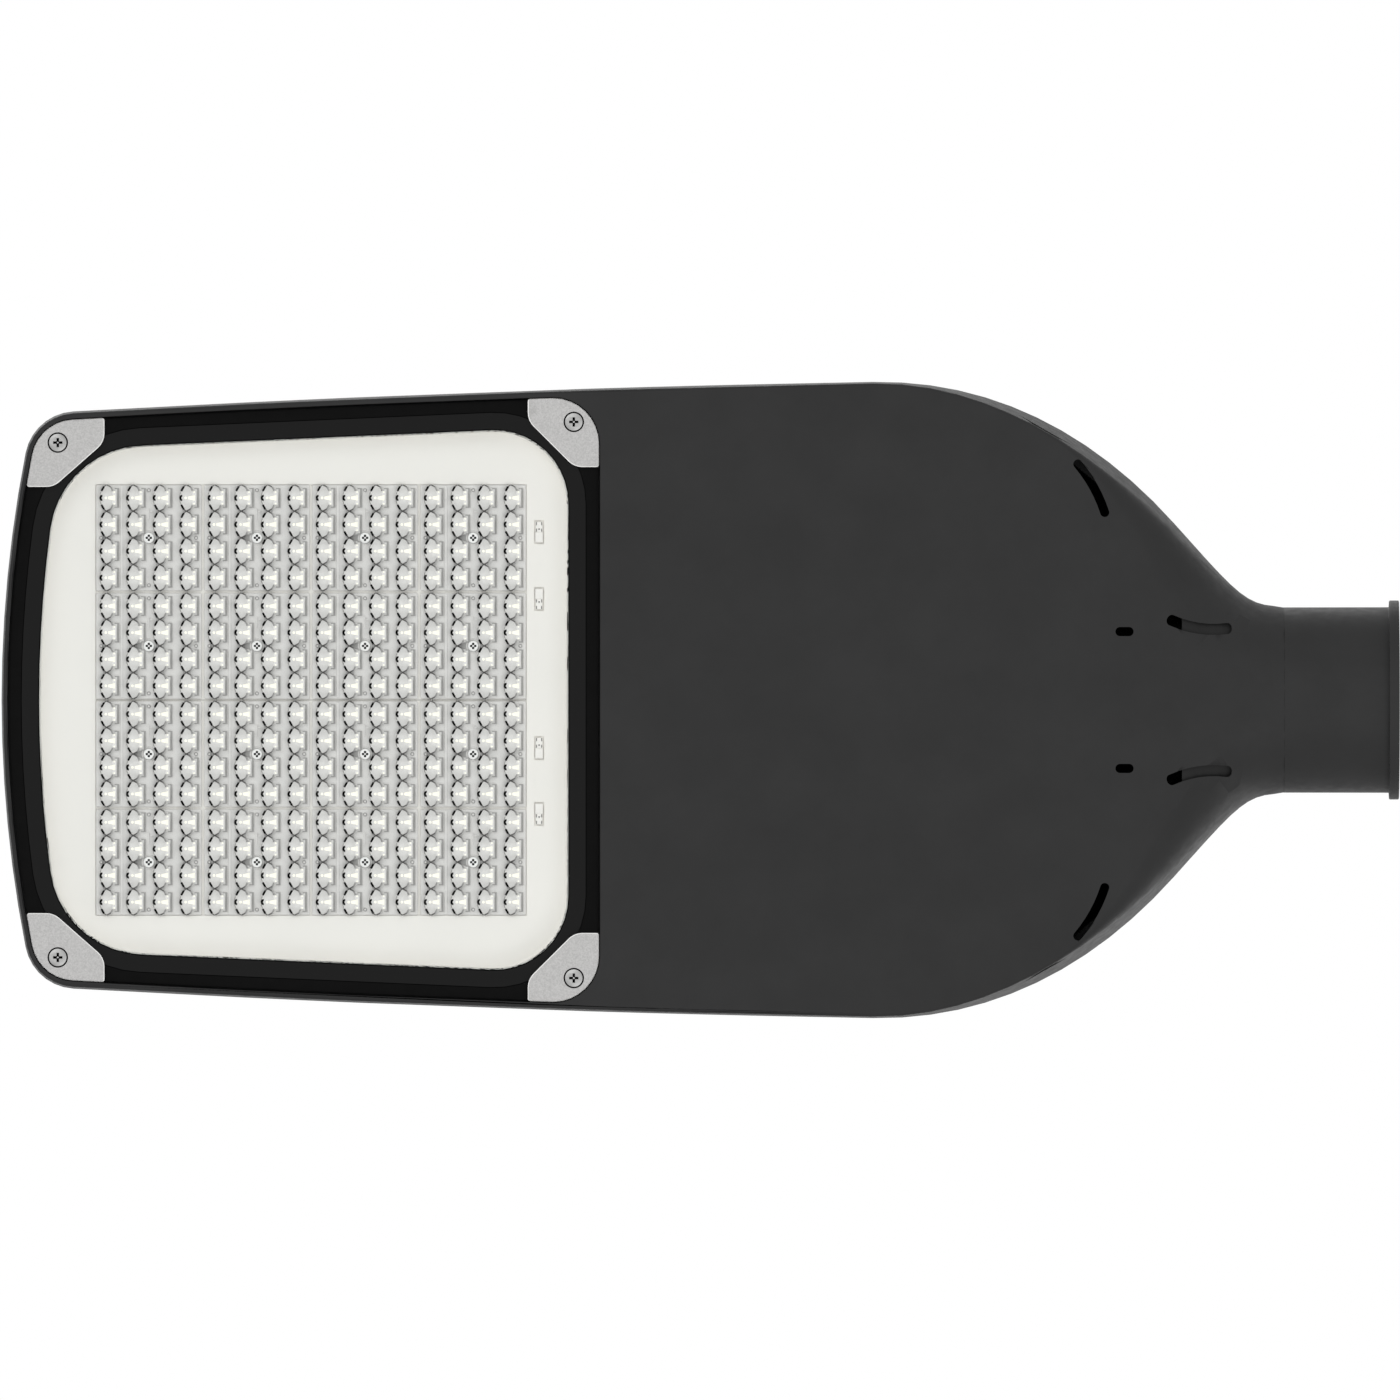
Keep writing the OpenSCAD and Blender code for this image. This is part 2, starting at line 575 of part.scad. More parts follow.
// The die-cast body: lamp part with fins, gear compartment, neck and pole socket
module housing() {
    color([0.215, 0.215, 0.22])
    difference() {
        union() {
            difference() {
                body_skin();
                // Lamp recess, pocket behind the window and cooling slots
                translate([0, 0, face_z - eps]) linear_extrude(ledge_depth + eps)
                    polygon(mirrored(recess_half(0)));
                translate([0, 0, ledge_z - eps]) linear_extrude(plate_z - ledge_z + eps)
                    polygon(mirrored(window_half(1)));
                for (i = [-slot_rows:slot_rows]) cooling_slot(i * slot_pitch);
                // Seat of the cover
                block([-cover_front_at - cover_gap, -through, part_z],
                      [-cover_back_at + cover_gap, through, through]);
                // Gear compartment and neck pocket
                translate([0, 0, floor_z]) linear_extrude(through)
                    plan_between(half_hollow(wall_t), gear_front, gear_back);
                for (step = [0:2]) translate([0, 0, neck_floor_z + step * neck_step])
                    linear_extrude(through) plan_between(half_hollow(wall_t, neck_shares[step]),
                                                         pocket_front, pocket_back);
                difference() {
                    both_sides() block([pocket_back - eps, neck_side_in, neck_side_z],
                                       [-neck_side_at, neck_side_out, -neck_side_in]);
                    along_x((bore_r + tube_r) / 2, pocket_back - 2 * eps, 0);
                }
            }
            // Bosses for the cover screws and standoffs for the control gear
            translate([0, 0, floor_z - eps]) linear_extrude(part_z - floor_z + eps)
                at_cover_screws() circle(r = cover_boss_r);
            translate([0, 0, floor_z - eps]) linear_extrude(standoff_h + eps) {
                at_driver_screws() circle(r = 5);
                at_gear_screws() circle(r = 4);
                translate(earth_at) circle(r = 5);
            }
            // Socket tube, its rim and the set screw bosses
            along_x(tube_r, -socket_len - stop_t, -eps);
            along_x(rim_r, -rim_len, 0);
            at_set_screws() cylinder(r = set_screw_r + 4, h = set_boss_top);
        }
        // Bore, pole stop and set screw threads
        along_x(bore_r, -socket_len, eps);
        along_x(stop_r, pocket_back - eps, -socket_len + eps);
        at_set_screws() cylinder(r = set_screw_r, h = through);
        // Threads of the cover screws and the clamp screws
        translate([0, 0, part_z - cover_screw_len]) linear_extrude(cover_screw_len + eps)
            at_cover_screws() circle(r = cover_screw_r);
        translate([0, 0, ledge_z - eps]) linear_extrude(clamp_screw_len + 1 - ledge_depth + eps)
            at_clamps() circle(r = bracket_screw_r);
        // Threads for the control gear and the earth screw
        gear_thread_z = floor_z + standoff_h + foot_t - gear_screw_len - 1;
        translate([0, 0, gear_thread_z]) linear_extrude(gear_screw_len) {
            at_driver_screws() circle(r = small_screw_r);
            at_gear_screws() circle(r = small_screw_r);
            translate(earth_at) circle(r = small_screw_r);
        }
        // Threads of the lens module screws in the plate
        translate([0, 0, plate_z - eps]) linear_extrude(plate_t - 1.5 + eps)
            at_modules() circle(r = small_screw_r);
        // Way of the board leads, and holes of the gland and the vent
        translate([-window_back_at - 4, 0, lead_hole_z]) rotate([0, 90, 0])
            cylinder(r = lead_hole_r, h = window_back_at + gear_front + 6);
        translate([gear_back - eps, 0, gland_z]) rotate([0, 90, 0])
            cylinder(r = gland_r, h = bulkhead_t + 2 * eps);
        translate([gear_back - eps, vent_at.y, vent_at.z]) rotate([0, 90, 0])
            cylinder(r = vent_r, h = bulkhead_t + 2 * eps);
        translate([0, 0, face_z - eps]) linear_extrude(neck_side_z - face_z + 2 * eps)
            both_sides() drain_slots();
    }
}

// Cover of the gear compartment: the upper shell of the body, with wells for its screws
module gear_cover() {
    color([0.215, 0.215, 0.22])
    difference() {
        union() {
            difference() {
                intersection() {
                    body_skin();
                    block([-cover_front_at, -through, cover_rim_z], [-cover_back_at, through, through]);
                }
                intersection() {
                    body_skin(cover_t);
                    block([-cover_front_at + cover_t, -through, 0], [0, through, through]);
                }
            }
            both_sides() for (x = cover_screw_xs) translate([x, width_at(x, cover_boss_inset), cover_rim_z])
                cylinder(r = cover_boss_r, h = top_at(x) - cover_rim_z - top_r_at(x) * (sin_cap - 0.55));
        }
        translate([0, 0, cover_rim_z - eps]) linear_extrude(through)
            at_cover_screws() circle(r = cover_screw_r + screw_gap);
        translate([0, 0, cover_seat_z]) linear_extrude(through)
            at_cover_screws() circle(r = cover_head_r + 2 * screw_gap);
    }
}

// Flat seal between the housing and the gear cover
module gear_cover_seal() {
    seal_edge = 1;
    color([0.08, 0.08, 0.08])
    difference() {
        union() {
            translate([0, 0, part_z]) linear_extrude(cover_seal_t) difference() {
                plan_between(half_inset(seal_edge), -cover_front_at + seal_edge, pocket_front);
                plan_between(half_hollow(wall_t), gear_front, gear_back);
            }
            translate([0, 0, part_z]) at_cover_screws() cylinder(r = cover_boss_r, h = cover_seal_t);
        }
        translate([0, 0, part_z - eps]) at_cover_screws()
            cylinder(r = cover_screw_r + screw_gap, h = cover_seal_t + 2 * eps);
    }
}

// A machine screw that points down from the underside of its head
module cap_screw(r, head_r, head_h, length) {
    difference() {
        cylinder(r = head_r, h = head_h);
        translate([0, 0, head_h / 2]) cylinder(r = head_r / 2, h = head_h, $fn = 6);
    }
    translate([0, 0, -length]) cylinder(r = r, h = length + eps);
}

module gear_cover_screws() {
    color([0.72, 0.72, 0.7])
    translate([0, 0, cover_seat_z]) at_cover_screws()
        cap_screw(cover_screw_r, cover_head_r, cover_head_h, cover_screw_len);
}

// Tempered glass of the lamp window
module glass_cover() {
    color([0.8, 0.85, 0.86, 0.35])
    translate([0, 0, glass_face_z]) linear_extrude(glass_t) polygon(mirrored(window_half(border_w)));
}

// Seal between the glass and the ledge of the housing. Round the edge of the glass it fills the
// channel up to the face of the glass, but for the feet of the brackets.
module glass_seal() {
    color([0.07, 0.07, 0.07])
    difference() {
        union() {
            translate([0, 0, glass_top_z]) linear_extrude(glass_seal_t)
                polygon(mirrored(window_half(border_w)));
            translate([0, 0, glass_face_z + fit_gap]) linear_extrude(ledge_z - glass_face_z - fit_gap)
                difference() {
                    polygon(mirrored(recess_half(seal_wall_gap)));
                    both_sides() offset(delta = fit_gap) {
                        bracket_plan(front_bracket_end, front_bracket_bevel, -1);
                        bracket_plan(back_bracket_end, back_bracket_bevel, 1);
                    }
                }
        }
        translate([0, 0, glass_face_z]) linear_extrude(glass_t)
            polygon(mirrored(window_half(border_w + fit_gap)));
        translate([0, 0, glass_face_z]) linear_extrude(through) polygon(mirrored(window_half(0)));
    }
}

// A bent edge across a corner: two straight ends joined by a slanting run with round turns
function turned(a, b, c, r, steps) =
    let (u = unit(a - b), v = unit(c - b),
         half = acos(u * v) / 2,
         centre = b + unit(u + v) * r / sin(half),
         from = atan2((b + u * r / tan(half) - centre).y, (b + u * r / tan(half) - centre).x),
         to = atan2((b + v * r / tan(half) - centre).y, (b + v * r / tan(half) - centre).x),
         swing = to - from > 180 ? to - from - 360 : to - from < -180 ? to - from + 360 : to - from)
    arc(centre, r, from, from + swing, steps);

bracket_turn_r = 9;
front_bracket_end = [front_clamp.x + 21.6, front_clamp.y - 20.5];
front_bracket_bevel = [front_clamp.x - 1.9, front_clamp.y + 0.2];
back_bracket_end = [back_clamp.x - 21.3, back_clamp.y - 20.9];
back_bracket_bevel = [back_clamp.x + 0.2, back_clamp.y + 0.55];

// The plan of a bracket on the +Y side, between its own edges and the recess
module bracket_plan(end, bevel, outward) {
    far = through * outward;
    start = [end.x, through];
    first = [end.x, bevel.y];
    second = [bevel.x, end.y];
    last = [bevel.x + far, end.y];
    offset(r = bracket_corner_r, $fn = 16) offset(delta = -bracket_corner_r) intersection() {
        polygon(mirrored(recess_half(bracket_gap)));
        polygon(concat([start], turned(start, first, second, bracket_turn_r, 4),
                       turned(first, second, last, bracket_turn_r, 4), [last, [last.x, through]]));
    }
}

// A clamp over one corner of the glass, with a foot that stands on the ledge
module bracket(end, bevel, outward, clamp) {
    flange_z = glass_face_z - bracket_t;
    color([0.72, 0.72, 0.73])
    difference() {
        union() {
            translate([0, 0, flange_z]) linear_extrude(bracket_t) bracket_plan(end, bevel, outward);
            translate([0, 0, glass_face_z]) linear_extrude(ledge_z - glass_face_z) difference() {
                bracket_plan(end, bevel, outward);
                polygon(mirrored(window_half(border_w + bracket_gap)));
            }
        }
        translate([clamp.x, clamp.y, flange_z - eps])
            cylinder(r = bracket_screw_r + screw_gap, h = ledge_depth + 2 * eps);
        translate([clamp.x, clamp.y, flange_z])
            cylinder(r1 = bracket_head_r + screw_gap / 2, r2 = bracket_screw_r + screw_gap,
                     h = bracket_head_h);
        translate([clamp.x, clamp.y, flange_z - eps])
            cylinder(r = bracket_head_r + screw_gap / 2, h = eps);
    }
}
bracket_head_h = bracket_head_r - bracket_screw_r + 0.4;

module corner_bracket_front_left() {
    bracket(front_bracket_end, front_bracket_bevel, -1, front_clamp);
}

module corner_bracket_front_right() {
    mirror([0, 1, 0]) corner_bracket_front_left();
}

module corner_bracket_back_left() {
    bracket(back_bracket_end, back_bracket_bevel, 1, back_clamp);
}

module corner_bracket_back_right() {
    mirror([0, 1, 0]) corner_bracket_back_left();
}

// Countersunk clamp screws with a cross recess, pointing up
module bracket_screws() {
    color([0.68, 0.68, 0.68])
    translate([0, 0, glass_face_z - bracket_t]) at_clamps() difference() {
        union() {
            cylinder(r1 = bracket_head_r, r2 = bracket_screw_r, h = bracket_head_h);
            cylinder(r = bracket_screw_r, h = clamp_screw_len);
        }
        for (a = [0, 90]) rotate(a) translate([-2.6, -0.5, -eps]) cube([5.2, 1, eps + 1.6]);
    }
}

// Places of the lens modules
module at_modules() {
    for (col = [1:module_cols]) for (row = [1:module_rows]) at_module(col, row) children();
}

module at_module(col, row) {
    translate([-field_at + (col - (module_cols + 1) / 2) * module_pitch,
               (row - (module_rows + 1) / 2) * module_pitch]) children();
}

function lens_place(i) = (i - (lens_count + 1) / 2) * lens_pitch;
module at_lenses() {
    for (i = [1:lens_count]) for (j = [1:lens_count])
        translate([lens_place(i) - lens_shift, lens_place(j)]) children();
}

// A light board under half of the lens modules, with its light sources
board_front = -field_at - module_cols * module_pitch / 2 - 2;
board_back = -window_back_at - 8;
board_half_w = module_rows * module_pitch / 2;
board_gap = 0.2;
module led_board(first_row) {
    color([0.92, 0.92, 0.9]) difference() {
        union() {
            block([board_front, board_gap / 2, board_face_z], [board_back, board_half_w, plate_z]);
            translate([0, 0, board_face_z - chip_h]) linear_extrude(chip_h + eps)
                for (col = [1:module_cols]) for (row = [1:module_rows / 2])
                    at_module(col, row + module_rows / 2) at_lenses() square(chip_size, center = true);
        }
        translate([0, 0, board_face_z - eps]) linear_extrude(board_t + 2 * eps)
            for (col = [1:module_cols]) for (row = [1:module_rows / 2])
                at_module(col, row + module_rows / 2) circle(r = small_screw_r + screw_gap);
    }
}

module led_board_left() {
    led_board();
}

module led_board_right() {
    mirror([0, 1, 0]) led_board();
}

// White reflector: a tray that lies on the light boards, open over the lens modules and the
// connectors, with an edge that stands up to the glass all round
module reflector_plate() {
    edge_gap = 0.1;
    seam = module_pitch - module_size;
    opening = [module_cols, module_rows] * module_pitch + [1, 1] * (2 * fit_gap - seam);
    color([0.93, 0.93, 0.91])
    difference() {
        translate([0, 0, glass_top_z]) linear_extrude(board_face_z - glass_top_z)
            polygon(mirrored(window_half(-edge_gap)));
        translate([0, 0, glass_top_z - eps]) linear_extrude(board_face_z - glass_top_z - sheet_t + eps)
            polygon(mirrored(window_half(-edge_gap - sheet_edge_t)));
        translate([0, 0, glass_top_z]) linear_extrude(through) {
            translate([-field_at, 0]) square(opening, center = true);
            for (y = connector_ys) translate([connector_x, y])
                square([connector_size.x, connector_size.y] + [2, 2] * fit_gap, center = true);
        }
    }
}

// Single-pole connectors at the back of each light board
connector_size = [3.9, 10.4, 2.6];
connector_x = -field_at + module_cols * module_pitch / 2 + 5.5;
connector_ys = [-77.8, -46.8, 22.3, 52.8];
module board_connectors() {
    color([0.94, 0.94, 0.92])
    for (y = connector_ys) translate([connector_x, y, board_face_z]) difference() {
        translate([0, 0, -connector_size.z / 2]) cube(connector_size, center = true);
        translate([0, connector_size.y / 2 - 2.4, -connector_size.z])
            cube([connector_size.x - 1.6, 3.2, 2.8], center = true);
    }
}

// One long lens, pointing down: two bent sides that meet in points, under a dome
module lens() {
    side = lens_arc_r - lens_half_w;
    intersection() {
        translate([side, 0, 0]) cylinder(r = lens_arc_r, h = lens_h + seated);
        translate([-side, 0, 0]) cylinder(r = lens_arc_r, h = lens_h + seated);
        translate([0, 0, lens_arc_r]) sphere(r = lens_arc_r);
    }
}

// One clear optic: a grid of lenses, hollow over their light sources, with a prism beside each column
seated = 0.2;
prism_at = lens_half_w + 0.3;
module lens_module(col, row) {
    base_z = board_face_z - lens_base_t;
    half = module_size / 2;
    hollow_r = chip_size * 0.8;
    color([0.85, 0.87, 0.87, 0.5])
    at_module(col, row) difference() {
        union() {
            block([-half, -half, base_z], [half, half, board_face_z]);
            intersection() {
                translate([0, 0, lens_tip_z]) at_lenses() lens($fn = 24);
                block([-half, -half, lens_tip_z - eps], [half, half, base_z + seated]);
            }
            for (i = [1:lens_count]) translate([lens_place(i) - lens_shift + prism_at, half - 1, base_z])
                rotate([90, 0, 0]) linear_extrude(module_size - 2)
                    polygon([[0, seated], [prism_t, seated], [prism_t - 0.4, -prism_h], [0.6, -prism_h]]);
        }
        translate([0, 0, board_face_z - chip_h - 0.5]) linear_extrude(chip_h + 1)
            at_lenses() circle(r = hollow_r);
        translate([0, 0, base_z - eps]) cylinder(r = small_screw_r + screw_gap, h = lens_base_t + 2 * eps);
        translate([0, 0, lens_tip_z - eps]) cylinder(r = small_head_r + screw_gap, h = lens_h + eps);
    }
}

// Pan-head screws through the middle of each lens module
module lens_screws() {
    length = lens_base_t + board_t + plate_t - 2;
    color([0.9, 0.9, 0.88])
    translate([0, 0, board_face_z - lens_base_t]) at_modules() mirror([0, 0, 1]) difference() {
        union() {
            cylinder(r = small_head_r, h = small_head_h);
            translate([0, 0, -length]) cylinder(r = small_screw_r, h = length + eps);
        }
        for (a = [0, 90]) rotate(a) translate([-small_screw_r, -0.3, small_head_h / 2])
            cube([2 * small_screw_r, 0.6, small_head_h]);
    }
}

// Driver in a closed aluminium case with a mounting foot at each end
module led_driver() {
    base_z = floor_z + standoff_h;
    groove_w = 2;
    color([0.6, 0.62, 0.64])
    difference() {
        union() {
            block([-driver_at - driver_w / 2, -driver_len / 2 + driver_foot, base_z],
                  [-driver_at + driver_w / 2, driver_len / 2 - driver_foot, base_z + driver_h]);
            block([-driver_at - driver_w / 2, -driver_len / 2, base_z],
                  [-driver_at + driver_w / 2, driver_len / 2, base_z + foot_t]);
        }
        for (sx = [-1, 1]) for (h = [0.3, 0.5, 0.7])
            translate([-driver_at + sx * driver_w / 2 - groove_w / 2, -driver_len / 2,
                       base_z + h * driver_h])
                cube([groove_w, driver_len, groove_w]);
        translate([0, 0, base_z - eps]) linear_extrude(foot_t + 2 * eps)
            at_driver_screws() circle(r = small_screw_r + screw_gap);
    }
}

module driver_screws() {
    color([0.72, 0.72, 0.7])
    translate([0, 0, floor_z + standoff_h + foot_t]) at_driver_screws()
        cap_screw(small_screw_r, small_head_r, small_head_h, gear_screw_len);
}

// Surge protector in a plain moulded case with a fixing ear at each end
module surge_protector() {
    base_z = floor_z + standoff_h;
    ear = 8;
    color([0.2, 0.32, 0.5])
    translate([surge_at.x, surge_at.y, base_z]) difference() {
        union() {
            block([-surge_size.x / 2 + ear, -surge_size.y / 2, 0],
                  [surge_size.x / 2 - ear, surge_size.y / 2, surge_size.z]);
            block([-surge_size.x / 2, -surge_size.y / 4, 0], [surge_size.x / 2, surge_size.y / 4, foot_t]);
        }
        for (sx = [-1, 1]) translate([sx * (surge_size.x / 2 - 4), 0, -eps])
            cylinder(r = small_screw_r + screw_gap, h = foot_t + 2 * eps);
    }
}

// Three-pole terminal block for the supply cable
module terminal_block() {
    base_z = floor_z + standoff_h;
    ear = 8;
    pole_gap = 10;
    color([0.85, 0.84, 0.8])
    translate([terminal_at.x, terminal_at.y, base_z]) difference() {
        union() {
            block([-terminal_size.x / 2, -terminal_size.y / 2 + ear, 0],
                  [terminal_size.x / 2, terminal_size.y / 2 - ear, terminal_size.z]);
            block([-terminal_size.x / 4, -terminal_size.y / 2, 0],
                  [terminal_size.x / 4, terminal_size.y / 2, foot_t]);
        }
        for (sy = [-1, 1]) translate([0, sy * (terminal_size.y / 2 - 4), -eps])
            cylinder(r = small_screw_r + screw_gap, h = foot_t + 2 * eps);
        for (i = [-1:1]) translate([0, i * pole_gap, 0]) {
            for (sx = [-1, 1]) translate([sx * terminal_size.x / 4, 0, terminal_size.z - 6])
                cylinder(r = 2.2, h = 7);
            translate([-terminal_size.x / 2 - eps, 0, 7]) rotate([0, 90, 0])
                cylinder(r = 2, h = terminal_size.x + 2 * eps);
        }
    }
}

module gear_screws() {
    color([0.72, 0.72, 0.7])
    translate([0, 0, floor_z + standoff_h + foot_t]) at_gear_screws()
        cap_screw(small_screw_r, small_head_r, small_head_h, gear_screw_len);
}

// Cable gland in the bulkhead: hexagon outside, thread through the wall, domed clamping nut
module cable_gland() {
    hex_t = 5;
    hex_r = gland_r * 1.35;
    dome_len = 14;
    color([0.12, 0.12, 0.12])
    translate([pocket_front, 0, gland_z]) rotate([0, 90, 0]) difference() {
        union() {
            cylinder(r = hex_r, h = hex_t, $fn = 6);
            cylinder(r = gland_r * 1.1, h = hex_t + dome_len);
            translate([0, 0, -bulkhead_t - 8]) cylinder(r = gland_r - 0.1, h = bulkhead_t + 8 + eps);
        }
        translate([0, 0, -through / 2]) cylinder(r = gland_r * 0.6, h = through);
    }
}

module gland_locknut() {
    nut_t = 5;
    color([0.12, 0.12, 0.12])
    translate([gear_back - nut_t, 0, gland_z]) rotate([0, 90, 0]) difference() {
        cylinder(r = gland_r * 1.35, h = nut_t, $fn = 6);
        translate([0, 0, -eps]) cylinder(r = gland_r, h = nut_t + 2 * eps);
    }
}

// Rubber grommet where the board leads pass from the gear compartment to the lamp
module board_lead_grommet() {
    flange_t = 2;
    color([0.07, 0.07, 0.07])
    translate([gear_front, 0, lead_hole_z]) rotate([0, 90, 0]) difference() {
        union() {
            cylinder(r = lead_hole_r + 2, h = flange_t);
            translate([0, 0, -8]) cylinder(r = lead_hole_r, h = 8 + eps);
        }
        translate([0, 0, -8 - eps]) cylinder(r = lead_hole_r - 2, h = 8 + flange_t + 2 * eps);
    }
}

// Vent that lets the sealed gear compartment breathe into the neck
module pressure_vent() {
    cap_t = 4;
    color([0.12, 0.12, 0.12])
    translate([vent_at.x, vent_at.y, vent_at.z]) rotate([0, 90, 0]) difference() {
        union() {
            cylinder(r = vent_r + 3, h = cap_t);
            translate([0, 0, -bulkhead_t]) cylinder(r = vent_r, h = bulkhead_t + eps);
        }
        translate([0, 0, -bulkhead_t - eps]) cylinder(r = vent_r - 2, h = bulkhead_t + 2);
    }
}

module earth_screw() {
    color([0.75, 0.65, 0.35])
    translate([earth_at.x, earth_at.y, floor_z + standoff_h])
        cap_screw(small_screw_r, small_head_r * 1.4, 2.5, gear_screw_len - 3);
}

// Set screws with a hexagon socket, flush with their bosses and clear of the bore
module pole_set_screws() {
    tip_z = bore_r + 0.4;
    color([0.6, 0.6, 0.6])
    at_set_screws() difference() {
        translate([0, 0, tip_z]) cylinder(r = set_screw_r, h = set_boss_top - tip_z - 0.5);
        translate([0, 0, set_boss_top - 5]) cylinder(r = set_screw_r / 2, h = through, $fn = 6);
    }
}

housing();
gear_cover();
gear_cover_seal();
gear_cover_screws();
glass_cover();
glass_seal();
corner_bracket_front_left();
corner_bracket_front_right();
corner_bracket_back_left();
corner_bracket_back_right();
bracket_screws();
reflector_plate();
led_board_left();
led_board_right();
board_connectors();
lens_screws();
for (col = [1:module_cols]) for (row = [1:module_rows])
    lens_module(col, row);
led_driver();
driver_screws();
surge_protector();
terminal_block();
gear_screws();
cable_gland();
gland_locknut();
board_lead_grommet();
pressure_vent();
earth_screw();
pole_set_screws();
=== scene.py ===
import math

import bpy
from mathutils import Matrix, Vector


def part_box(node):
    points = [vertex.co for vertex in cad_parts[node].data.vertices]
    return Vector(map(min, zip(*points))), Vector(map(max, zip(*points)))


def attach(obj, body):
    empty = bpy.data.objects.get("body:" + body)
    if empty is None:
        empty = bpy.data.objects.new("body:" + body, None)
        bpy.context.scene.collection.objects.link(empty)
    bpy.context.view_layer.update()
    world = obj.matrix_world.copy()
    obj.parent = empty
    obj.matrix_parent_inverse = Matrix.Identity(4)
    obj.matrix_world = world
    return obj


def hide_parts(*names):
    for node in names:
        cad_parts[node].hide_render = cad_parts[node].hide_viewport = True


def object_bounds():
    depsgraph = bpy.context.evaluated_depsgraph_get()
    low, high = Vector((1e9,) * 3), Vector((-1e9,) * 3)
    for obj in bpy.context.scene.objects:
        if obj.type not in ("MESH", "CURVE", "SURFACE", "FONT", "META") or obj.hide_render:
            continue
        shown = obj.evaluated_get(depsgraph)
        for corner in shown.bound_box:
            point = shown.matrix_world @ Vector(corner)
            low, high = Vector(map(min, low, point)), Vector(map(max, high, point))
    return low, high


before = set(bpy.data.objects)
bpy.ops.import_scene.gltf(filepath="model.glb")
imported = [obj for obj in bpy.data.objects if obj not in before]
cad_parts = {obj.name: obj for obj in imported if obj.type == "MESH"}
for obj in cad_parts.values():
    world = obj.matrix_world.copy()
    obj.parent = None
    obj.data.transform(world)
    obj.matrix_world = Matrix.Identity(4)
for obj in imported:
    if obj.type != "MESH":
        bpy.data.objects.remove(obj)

cad_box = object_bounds()

# Sizes of the real pieces in metres, where the frame does not give them
CAST_EDGE = 0.0005
TUBE_R = 0.043
NECK_END = 0.0533
COVER_LIP = 0.00064
COVER_DROP = 0.00147
GLASS_BORDER = 0.0075
# Width of the rim line of painted shade inside the enamel
GLASS_RIM = 0.0005
BRACKET_CHAMFER = 0.0004
BRACKET_CHAMFER_HIGH = 0.00032
SCREW_GAP_R = 0.00475
SCREW_CLEAR_R = 0.0055

# Where the drain slots lie: behind a place along the light, near its middle, and under a height
DRAIN_FROM = -0.152
DRAIN_HALF_WIDTH = 0.115
DRAIN_TOP = -0.036

# Bent slots beside the socket: centre and radius of their middle line, their ends along X,
# just over half their width, how much wider they get, and the heights of their wall
SLOT_X, SLOT_Y, SLOT_R = -0.0862, 0.0802, 0.0475
SLOT_FROM, SLOT_TO = -0.1082, -0.0776
SLOT_REACH = 0.00225
SLOT_WIDER = 1.22
SLOT_WALL_TOP = -0.0305
SLOT_MOUTH = -0.0355

# Floor of those slots: its ends along X, its sides, its steps, its depth and its thickness
FLOOR_FROM, FLOOR_TO = -0.1010, -0.0775
FLOOR_INNER, FLOOR_OUTER = 0.029, 0.040
FLOOR_STEPS = 6
FLOOR_DEPTH = 0.0025
FLOOR_THICK = 0.001

# One optic: its side and thickness, the cells of its lenses, and how far a lens sits off its cell's middle
MODULE_SIDE = 0.0489
LENS_BASE = 0.0016
LENS_COUNT = 4
LENS_PITCH = 0.01233
LENS_SHIFT = 0.0009

# One lens: half its width, the arcs of its pointed sides, and the balls that its surfaces follow
LENS_HALF_WIDTH = 0.0035
LENS_ARC = 0.008
LENS_TAPER = 0.0006
LENS_BALL = 0.008
CAP_R = 0.004
CAP_X = 0.0002
CAP_BALL = 0.006
BEAM_BALL = 0.010

# The picture: size of one pixel on the light, and pixels along a side
PHOTO_PIXEL = 0.0004632
PHOTO_SIZE = 1400

BRACKETS = ("corner_bracket_front_left", "corner_bracket_front_right",
            "corner_bracket_back_left", "corner_bracket_back_right")


def select_only(piece):
    if bpy.context.mode != "OBJECT":
        bpy.ops.object.mode_set(mode="OBJECT")
    bpy.ops.object.select_all(action="DESELECT")
    piece.select_set(True)
    bpy.context.view_layer.objects.active = piece


def settle(piece):
    """Puts the piece's place into its mesh, so that its object sits at the origin."""
    select_only(piece)
    bpy.ops.object.transform_apply(location=True, rotation=True, scale=True)
    return piece


def added(name):
    """The primitive that was just added, under its own name."""
    piece = bpy.context.active_object
    piece.name = name
    piece.data.name = name
    return settle(piece)


def drum(name, radius, low, high, x=0.0, y=0.0, tip_radius=None, sides=64):
    """A round blank that stands along Z between two heights."""
    bpy.ops.object.select_all(action="DESELECT")
    bpy.ops.mesh.primitive_cone_add(
        vertices=sides, radius1=tip_radius or radius, radius2=radius,
        depth=high - low, location=(x, y, (low + high) / 2))
    return added(name)


def blank(name, low, high):
    """A rectangular blank between two corners."""
    low, high = Vector(low), Vector(high)
    bpy.ops.object.select_all(action="DESELECT")
    bpy.ops.mesh.primitive_cube_add(size=1, location=(low + high) / 2, scale=high - low)
    return added(name)


def bar(name, x, y, long, wide, low, high, turn=0.0):
    """A bar that lies turned in plan."""
    bpy.ops.object.select_all(action="DESELECT")
    bpy.ops.mesh.primitive_cube_add(size=1, location=(x, y, (low + high) / 2),
                                    rotation=(0, 0, math.radians(turn)), scale=(long, wide, high - low))
    return added(name)


def ball(x, tip, radius):
    """A ball by its lowest point: the surface of a dome that faces down."""
    bpy.ops.object.select_all(action="DESELECT")
    bpy.ops.mesh.primitive_uv_sphere_add(segments=36, ring_count=24, radius=radius,
                                         location=(x, 0, tip + radius))
    return added("ball")


def give(piece, *materials):
    """Gives a piece its materials."""
    piece.data.materials.clear()
    for material in materials:
        piece.data.materials.append(material)
    return piece


def mark_all(piece, number):
    """Gives every face of a piece one of its materials."""
    for face in piece.data.polygons:
        face.material_index = number
    return piece


def zone(piece, number):
    """Marks every face of a piece with one of the optic's material zones."""
    if not piece.data.materials:
        give(piece, *OPTIC_ZONES)
    return mark_all(piece, number)


